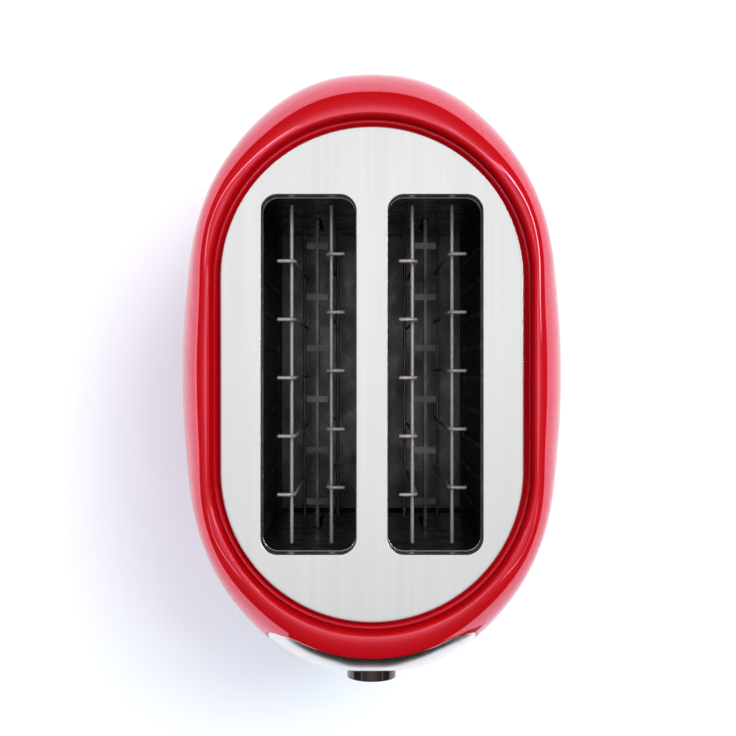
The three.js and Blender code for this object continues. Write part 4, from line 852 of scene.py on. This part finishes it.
def rim_block(out):
    """The space under the rim and the plate, which the window and the panel leave whole."""
    loop = stadium_loop(out, RIM_BLOCK_SIDES, 0.5)
    rings = [at_height(loop, PLATE_Z + up) for up in (-RIM_BLOCK_REACH, RIM_BLOCK_REACH)]
    return capped_grid("rim_block", rings)


def build_shell():
    columns = []
    for angle in full_turn(BODY_COLUMNS):
        across = math.cos(angle)
        along = math.sin(angle)
        columns.append([point(reach * across, reach * along, z) for reach, z in shell_column(angle)])
    shell = grid_object("painted_shell", list(zip(*columns)), close_rows=True)
    window = prism("window", panel_outline(0.0, CUT_BOTTOM_Z), CUT_FRONT_Y, WINDOW_BACK_Y)
    boolean(shell, boolean(window, rim_block(RIM_WIDTH)))
    hole = circle(INLET_HOLE, (0.0, INLET_Z), steps=48)
    boolean(shell, prism("inlet_hole", hole, INLET_HOLE_Y, -CUT_FRONT_Y))
    lip = tube("window_lip", arch_path(SHELL_WALL / 2), LIP_RADIUS, sides=12)
    shell = join("painted_shell", [shell, lip])
    shade(shell)
    return dress(shell, paint, "chassis", "painted_body", "body_shell")


# Top plate with rolled slot rims


def filled_outline(name, loops, z):
    """A flat sheet at one height, inside the first loop and outside the others."""
    curve = bpy.data.curves.new(name, "CURVE")
    curve.dimensions = "2D"
    curve.fill_mode = "BOTH"
    for loop in loops:
        spline = curve.splines.new("POLY")
        spline.points.add(len(loop) - 1)
        spline.use_cyclic_u = True
        for place, at in zip(spline.points, at_height(loop, 0)):
            place.co = (*at, 1)
    outline = link_object(name, curve)
    mesh = evaluated_mesh(outline)
    bpy.data.objects.remove(outline)
    for vertex in mesh.vertices:
        vertex.co.z = z * MM
    return link_object(name, mesh)


def slot_loop(centre_x, out, end_out):
    return rounded_rectangle(SLOT_HALF_WIDTH + out, SLOT_HALF_LENGTH + end_out, SLOT_CORNER + out,
                             (centre_x, 0.0), steps=12)


def build_plate():
    holes = [slot_loop(centre_x, SLOT_RIM_OUT, SLOT_RIM_OUT) for centre_x in (-SLOT_X, SLOT_X)]
    parts = [filled_outline("plate_sheet", [stadium_loop(-SHEET_INSET), *holes], PLATE_Z)]
    edge = [at_height(stadium_loop(-SHEET_INSET), PLATE_Z)]
    for turn in sweep(0, 1, SMALL_ARC_STEPS):
        loop = stadium_loop(EDGE_RADIUS * (math.sin(turn) - 1))
        edge.append(at_height(loop, PLATE_Z - EDGE_RADIUS * (1 - math.cos(turn))))
    for inset in (0.0, SKIRT_INSET):
        edge.append(at_height(stadium_loop(-inset), PLATE_Z - SKIRT_DROP))
    parts.append(grid_object("plate_edge", edge))
    bend = around(sweep(1, 2, ARC_STEPS), SLOT_BEND, SLOT_BEND_CENTRE)
    for centre_x in (-SLOT_X, SLOT_X):
        rows = []
        for out, up in ((SLOT_RIM_OUT, 0.0), (SLOT_RIM_FLAT, 0.0), *bend, *SLOT_WALL):
            end_out = out * (SLOT_END_LIP if up < SLOT_LIP_UP and out < 0 else 1.0)
            rows.append(at_height(slot_loop(centre_x, out, end_out), PLATE_Z + up))
        parts.append(grid_object("slot_rim", rows))
    plate = join("brushed_top_plate", parts)
    tidy_mesh(plate, PLATE_SHARP)
    return dress(plate, plate_steel, "chassis", "brushed_steel", "top_plate")


# Control panel, its trims and what it carries


def track_outline(grow):
    return rounded_rectangle(TRACK_HALF_WIDTH + grow, (TRACK_TOP - TRACK_BOTTOM) / 2 + grow,
                             TRACK_CORNER + grow, (0.0, (TRACK_TOP + TRACK_BOTTOM) / 2))


def panel_y(x, z):
    """The panel's face: set back in the middle, nearly flush towards its sides."""
    share = min(1.0, abs(x) / PANEL_FLUSH_X)
    return front_y(x, z, between(PANEL_INSET, PANEL_SIDE_INSET, share * share * (3 - 2 * share)))


def panel_slab(name, face, outline):
    half = PANEL_HALF_WIDTH + PANEL_LAP + PANEL_MARGIN
    xs = [between(-half, half, column / PANEL_COLUMNS) for column in range(PANEL_COLUMNS + 1)]
    rings = []
    for row in range(PANEL_ROWS + 1):
        share = 1 - (1 - row / PANEL_ROWS) ** PANEL_ROW_POWER
        z = between(BASE_Z + PANEL_LIFT, PANEL_TOP_Z + PANEL_MARGIN, share)
        ahead = [point(x, face(x, z), z) for x in xs]
        behind = [point(x, front_y(x, z, PANEL_BACK_INSET), z) for x in reversed(xs)]
        rings.append(ahead + behind)
    slab = capped_grid(name, rings)
    return boolean(slab, prism("arch", outline, CUT_FRONT_Y, PANEL_CUT_BACK_Y), "INTERSECT")


def button_places():
    places = []
    for number in range(1, 5):
        _, middle, _ = measure(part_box(f"push_button_{number}"))
        places.append((middle.x, middle.z))
    return places


def build_panel():
    panel = panel_slab("brushed_panel", panel_y, panel_outline(-LIP_RADIUS - LIP_GAP, CUT_BOTTOM_Z))
    flange = panel_slab("flange", lambda x, z: front_y(x, z, PANEL_FLANGE_INSET),
                        panel_outline(PANEL_LAP, CUT_BOTTOM_Z))
    boolean(panel, flange, "UNION")
    boolean(panel, rim_block(RIM_WIDTH + PANEL_RIM_GAP))
    cutters = [track_outline(0.0), circle(SHAFT_HOLE, (0.0, DIAL_HEIGHT), steps=32)]
    cutters += [circle(BUTTON_HOLE, place, steps=40) for place in button_places()]
    for outline in cutters:
        boolean(panel, prism("cutter", outline, CUT_FRONT_Y, PANEL_CUT_BACK_Y))
    return dress(panel, panel_steel, "chassis", "brushed_steel", "control_panel")


def trim_ring(name, outlines, profile, node):
    """A trim that follows the panel: profile gives the outline's growth and how far it stands proud."""
    rows = [[point(x, panel_y(x, z) - proud, z) for x, z in outlines(grow)] for grow, proud in profile]
    ring = grid_object(name, rows, close_rows=True)
    return dress(ring, trim_chrome, "chassis", "bright_trim", node)


def round_profile(width, height):
    bow = [(width / 2 - width / 2 * math.cos(angle), height * math.sin(angle) ** TRIM_POWER)
           for angle in sweep(0, 2, ARC_STEPS)]
    return [(0.0, -TRIM_SINK), *bow, (width, -TRIM_SINK)]


def dial_outline(grow):
    _, middle, high = measure(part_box("dial_ring"))
    return circle(high.x - middle.x - DIAL_RING_WIDTH + grow, (0.0, DIAL_HEIGHT))


def build_knob():
    back = measure(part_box("lever_knob"))[2].y
    profile = [*KNOB_BACK, *around(sweep(0, 1, ARC_STEPS), KNOB_EDGE, KNOB_EDGE_CENTRE), *KNOB_FACE]
    knob = lathe_forward("plated_knob", profile, 0.0, back, KNOB_HEIGHT)
    socket = rounded_rectangle(*KNOB_SOCKET, (0.0, KNOB_HEIGHT), steps=2)
    boolean(knob, prism("socket", socket, back - KNOB_SOCKET_DEPTH, back + CUT_MARGIN))
    return dress(knob, knob_plating, "lever_carriage", "knob_plastic", "lever_knob")


def build_dial():
    low, middle, high = measure(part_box("browning_dial"))
    back = high.y
    radius = high.x - middle.x
    length = high.y - low.y
    rows = []
    for share, ahead in DIAL_PROFILE:
        ring = []
        for angle in full_turn(DIAL_FLUTES * DIAL_FLUTE_STEPS):
            wave = 0.5 - 0.5 * math.cos(DIAL_FLUTES * angle)
            depth = DIAL_FLUTE_DEPTH * wave if share > DIAL_FLUTED_FROM else 0.0
            x, z = turned(angle, share * radius - depth, (0.0, DIAL_HEIGHT))
            ring.append(point(x, back - ahead * length, z))
        rows.append(ring)
    dial = capped_grid("browning_dial_cap", rows)
    pointer = rounded_rectangle(*POINTER, (0.0, DIAL_HEIGHT + POINTER_UP), steps=6)
    boolean(dial, prism("groove", pointer, low.y - CUT_MARGIN, low.y + POINTER_DEPTH))
    bore = circle(DIAL_BORE, (0.0, DIAL_HEIGHT), steps=32)
    boolean(dial, prism("bore", bore, back - DIAL_BORE_DEPTH, back + CUT_MARGIN))
    return dress(dial, button_plastic, "dial", "knob_plastic", "browning_dial")


def build_buttons():
    for number, (x, z) in enumerate(button_places(), 1):
        node = f"push_button_{number}"
        low, middle, high = measure(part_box(node))
        length = high.y - low.y
        collar = high.x - middle.x
        cap = collar - BUTTON_COLLAR_WIDTH
        front = high.y - front_y(abs(x) + collar, z - collar, PANEL_BACK_INSET) - BUTTON_COLLAR_GAP
        rear = front - BUTTON_COLLAR_LENGTH
        profile = [(0.0, 0.0), (BUTTON_STEM, 0.0), (BUTTON_STEM, rear), (collar, rear), (collar, front),
                   (cap, front)]
        profile += around(sweep(0, 1, SMALL_ARC_STEPS), BUTTON_EDGE,
                          (cap - BUTTON_EDGE, length - BUTTON_EDGE))
        profile += [(radius, length - dip) for radius, dip in BUTTON_DISH]
        button = lathe_forward(f"button_cap_{number}", profile, x, high.y, z, BUTTON_SEGMENTS)
        dress(button, button_plastic, f"button_{number}", "knob_plastic", node)


# Bread guards


def build_guard(name, node, body, x, away):
    _, middle, high = measure(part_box(node))
    parts = []
    for label, half, z in (("pivot", high.y - middle.y, GUARD_BASE_Z),
                           ("long_wire", GUARD_TOP_HALF_LENGTH, GUARD_TOP_Z)):
        end = half - GUARD_WIRE_END
        parts.append(tube(label, [(x, -end, z), (x, end, z)], WIRE_RADIUS))
    upright_x = x - away * UPRIGHT_OFFSET
    for index in range(GUARD_UPRIGHTS):
        y = (index - (GUARD_UPRIGHTS - 1) / 2) * GUARD_PITCH + away * GUARD_SHIFT
        path = [(upright_x, y, z) for z in UPRIGHT_LEVELS]
        for angle in sweep(0, 1, ARC_STEPS)[1:]:
            path.append((upright_x + away * TIP_BEND * (1 - math.cos(angle)), y,
                         GUARD_TOP_Z + TIP_RISE - TIP_BEND * (1 - math.sin(angle))))
        path.append((upright_x + away * TIP_REACH, y, GUARD_TOP_Z + TIP_RISE))
        parts.append(tube("upright", path, UPRIGHT_RADIUS, sides=12))
    guard = join(name, parts)
    shade(guard, WIRE_SHARP)
    return dress(guard, wire_chrome, body, "bright_wire", node)


def build_guards():
    for number, (side, centre_x, place, away) in enumerate(GUARDS, 1):
        node = f"{side}_{place}_guard"
        build_guard(f"guard_wires_{number}", node, f"{node}_body", centre_x + away * GUARD_OFFSET, away)


# Feet, cord bush, tray grip and lift spring


def build_feet():
    for number in range(1, 5):
        node = f"foot_{number}"
        _, middle, high = measure(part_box(node))
        profile = (*FOOT_PROFILE, (FOOT_RADIUS, high.z), (0.0, high.z))
        foot = lathe_up(f"rubber_foot_{number}", profile, middle.x, middle.y)
        dress(foot, foot_rubber, "chassis", "foot_rubber", node)


def build_inlet():
    end = measure(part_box("cord_inlet"))[2].y
    rows = [[point(x, end - inward, z) for x, z in circle(radius, (0.0, INLET_Z), steps=64)]
            for radius, inward in INLET_PROFILE]
    bush = grid_object("cord_bush", rows, close_rows=True)
    return dress(bush, black_plastic, "chassis", "black_plastic", "cord_inlet")


def build_handle():
    """A grip with its section in y and z, its ends slightly narrower."""
    low, middle, high = measure(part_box("tray_handle"))
    front = low.y + GRIP_WALL
    back = high.y - GRIP_WALL
    floor = low.z + GRIP_WALL
    section = [(low.y, low.z), (low.y, low.z + GRIP_HOOK), (front, low.z + GRIP_HOOK),
               (front, floor + GRIP_FILLET), (front + GRIP_FILLET, floor), (back - GRIP_FILLET, floor),
               (back, floor + GRIP_FILLET)]
    section += [(high.y - inward, high.z - down) for inward, down in GRIP_TOP]
    section += [(high.y, low.z + GRIP_CHAMFER), (high.y - GRIP_CHAMFER, low.z)]
    stations = [(low.x + inward, shrink) for inward, shrink in GRIP_ENDS]
    stations += [(high.x - inward, shrink) for inward, shrink in reversed(GRIP_ENDS)]
    rows = []
    for x, shrink in stations:
        rows.append([point(x, y + math.copysign(shrink, middle.y - y),
                           z + math.copysign(shrink, middle.z - z)) for y, z in section])
    handle = capped_grid("tray_grip", rows, GRIP_SHARP)
    return dress(handle, black_plastic, "tray", "black_plastic", "tray_handle")


def build_spring():
    """The carriage's compression spring, its end curls closed."""
    low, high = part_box("lift_spring")
    foot, middle, head = measure((low, high))
    bottom = foot.z + SPRING_WIRE
    top = head.z - SPRING_WIRE
    pitch = SPRING_WIRE * 2
    steps = SPRING_CURLS * SPRING_CURL_STEPS
    path = []
    for step, turn in enumerate(sweep(0, 4 * SPRING_CURLS, steps)):
        share = step / steps
        open_share = (share - SPRING_CLOSED) / (1 - 2 * SPRING_CLOSED)
        if open_share <= 0:
            height = bottom + pitch * share / SPRING_CLOSED
        elif open_share > 1:
            height = top - pitch * (1 - share) / SPRING_CLOSED
        else:
            height = between(bottom + pitch, top - pitch, open_share)
        path.append((*turned(turn, SPRING_RADIUS, (middle.x, middle.y)), height))
    spring = tube("carriage_spring", path, SPRING_WIRE, sides=8)
    dress(spring, works_steel, "chassis", "plain_steel", "lift_spring")
    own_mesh(spring)


build_shell()
build_plate()
build_panel()
trim_ring("lever_trim", track_outline, round_profile(SURROUND_WIDTH, SURROUND_HEIGHT), "lever_surround")
trim_ring("dial_trim", dial_outline, round_profile(DIAL_RING_WIDTH, DIAL_RING_HEIGHT), "dial_ring")
build_knob()
build_dial()
build_buttons()
build_guards()
build_feet()
build_inlet()
build_handle()
build_spring()

# Nodes that keep their shape get their finish here
CARRIED_OVER = {
    black_plastic: ["lever_track", "mains_switch", "switch_striker", "base_pan"],
    works_steel: ["lever_arm", "control_shaft", "browning_control", "carriage", "rod_bracket", "magnet_core",
                  "armature"],
    slot_shade_chassis_steel: ["front_end_plate", "rear_end_plate", "left_reflector", "right_reflector",
                    "left_bread_rack", "right_bread_rack", "crumb_tray"],
    trim_chrome: ["guide_rod"],
    coil_copper: ["magnet_coil"],
    laminate: ["circuit_board"],
    slot_shade_mica: [],
    ribbon_metal: [],
}
for side, _, place, _ in GUARDS:
    CARRIED_OVER[slot_shade_mica].append(f"{side}_{place}_heater_board")
    CARRIED_OVER[ribbon_metal].append(f"{side}_{place}_heating_ribbon")
for number in range(1, 5):
    CARRIED_OVER[black_plastic].append(f"button_switch_{number}")
    CARRIED_OVER[works_steel].append(f"base_screw_{number}")
for material, node_names in CARRIED_OVER.items():
    for node_name in node_names:
        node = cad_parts[node_name]
        node.data.materials.clear()
        node.data.materials.append(material)


# Stage: floor, a dim screen, dark cloth and bright ribbons that only reflections see, and two lamps


def only_reflected(obj):
    obj.visible_camera = False
    obj.visible_diffuse = False
    obj.visible_shadow = False
    obj.visible_transmission = False
    obj.visible_volume_scatter = False


def build_floor():
    """A matt floor that camera and mirrors see glowing, the more so far from the part."""
    mesh = bpy.data.meshes.new("floor")
    corners = [(x * FLOOR_SIZE, y * FLOOR_SIZE, 0) for x, y in ((-1, -1), (1, -1), (1, 1), (-1, 1))]
    mesh.from_pydata(corners, [], [(0, 1, 2, 3)])
    floor = link_object("floor", mesh)
    made = Shader("pale_floor", FLOOR_COLOR, 1.0)
    made.set({"Specular IOR Level": 0.0})
    reach = made.nodes.new("ShaderNodeVectorMath")
    reach.operation = "LENGTH"
    made.links.new(made.place, reach.inputs[0])
    spread = made.map_range(reach.outputs["Value"], 0.0, 1.0, GLOW_NEAR, GLOW_FAR)
    tint = made.color_ramp(spread.outputs["Result"], (0.0, NEAR_GLOW), (1.0, FAR_GLOW))
    made.links.new(tint, made.inputs["Emission Color"])
    made.links.new(made.seen(), made.inputs["Emission Strength"])
    floor.data.materials.append(made.material)


def build_dome():
    """A dim screen round the set, seen only in reflections: bright overhead, dark towards the horizon."""
    rows = []
    for ring in range(DOME_RINGS + 1):
        up = math.pi / 2 * min(DOME_TOP, ring / DOME_RINGS)
        loop = circle(DOME_RADIUS * math.cos(up), steps=DOME_SEGMENTS)
        rows.append([Vector((x, y, DOME_RADIUS * math.sin(up))) for x, y in loop])
    dome = grid_object("reflection_dome", rows)
    made = Glow("dome_cloth")
    rise = made.nodes.new("ShaderNodeVectorMath")
    rise.operation = "DOT_PRODUCT"
    rise.inputs[1].default_value = Vector((0.0, DOME_LEAN, 1.0)).normalized()
    made.links.new(made.coordinates(), rise.inputs[0])
    level = made.map_range(rise.outputs["Value"], 0.0, 1.0, from_high=DOME_RADIUS)
    stops = [(position, (value,) * 3) for position, value in DOME_LEVELS]
    made.links.new(made.color_ramp(level.outputs["Result"], *stops), made.inputs["Color"])
    dome.data.materials.append(made.material)
    only_reflected(dome)


def build_floor_flag():
    """A dark cloth on the floor in front, seen only in reflections, paler towards the body."""
    corners = [Vector((x, y, FLAG_HEIGHT)) for x, y in FLOOR_FLAG]
    flag = make_object("floor_flag", corners, [tuple(range(len(corners)))])
    made = Glow("flag_cloth", FLAG_COLOR)
    level = made.map_range(made.axis(made.coordinates(), "Y"), FLAG_DARK, FLAG_NEAR, FLAG_DARK_Y, FLAG_NEAR_Y)
    made.links.new(level.outputs["Result"], made.inputs["Strength"])
    flag.data.materials.append(made.material)
    only_reflected(flag)


def build_streak(name, width, strength, path):
    """A bright ribbon that only reflections see, along directions given off the zenith and round it."""
    places = []
    for start, end in zip(path, path[1:]):
        for degrees in straight(start, end, STREAK_STEPS):
            off, turn = (math.radians(value) for value in degrees)
            places.append(Vector((*turned(turn, math.sin(off)), math.cos(off))))
    inner = []
    outer = []
    for before, place, after in zip(places, places[1:], places[2:]):
        aside = place.cross(after - before).normalized() * math.radians(width) / 2
        inner.append((place - aside) * STREAK_RADIUS)
        outer.append((place + aside) * STREAK_RADIUS)
    ribbon = grid_object(name, [inner, outer], close_columns=False)
    ribbon.data.materials.append(Glow(f"{name}_glow", strength=strength).material)
    only_reflected(ribbon)


def build_lamp(name, place, size, watts, color):
    data = bpy.data.lights.new(name, "AREA")
    data.shape = "RECTANGLE"
    data.size, data.size_y = size
    data.energy = watts
    data.color = color
    lamp = link_object(name, data)
    lamp.location = place
    way = Vector(LAMP_TARGET) - Vector(place)
    lamp.rotation_euler = way.to_track_quat("-Z", "Y").to_euler()
    lamp.visible_glossy = False


def build_world():
    """White for camera and mirrors; its fill light is stronger from the sides than from overhead."""
    world = bpy.data.worlds.new("studio")
    bpy.context.scene.world = world
    graph = Graph(world)
    background = graph.nodes["Background"]
    background.inputs["Color"].default_value = (*WHITE, 1.0)
    fill = graph.map_range(graph.axis(graph.coordinates("Generated"), "Z"), SIDE_FILL, TOP_FILL)
    level = graph.map_range(graph.seen(), 0.0, 1.0)
    graph.links.new(fill.outputs["Result"], level.inputs["To Min"])
    graph.links.new(level.outputs["Result"], background.inputs["Strength"])


def build_camera():
    data = bpy.data.cameras.new("camera")
    data.sensor_width = SENSOR_MM
    data.lens = SENSOR_MM * FOCAL_PIXELS / FRAME_PIXELS
    camera = link_object("camera", data)
    camera.location = point(CAMERA_OFF_X, CAMERA_OFF_Y, CAMERA_Z)
    camera.rotation_euler = (0.0, 0.0, 0.0)
    bpy.context.scene.camera = camera


build_floor()
build_dome()
build_floor_flag()
for name, ribbon in STREAKS.items():
    build_streak(name, *ribbon)
for name, lamp in LAMPS.items():
    build_lamp(name, *lamp)
build_world()
build_camera()
bpy.context.scene.view_settings.view_transform = "Standard"
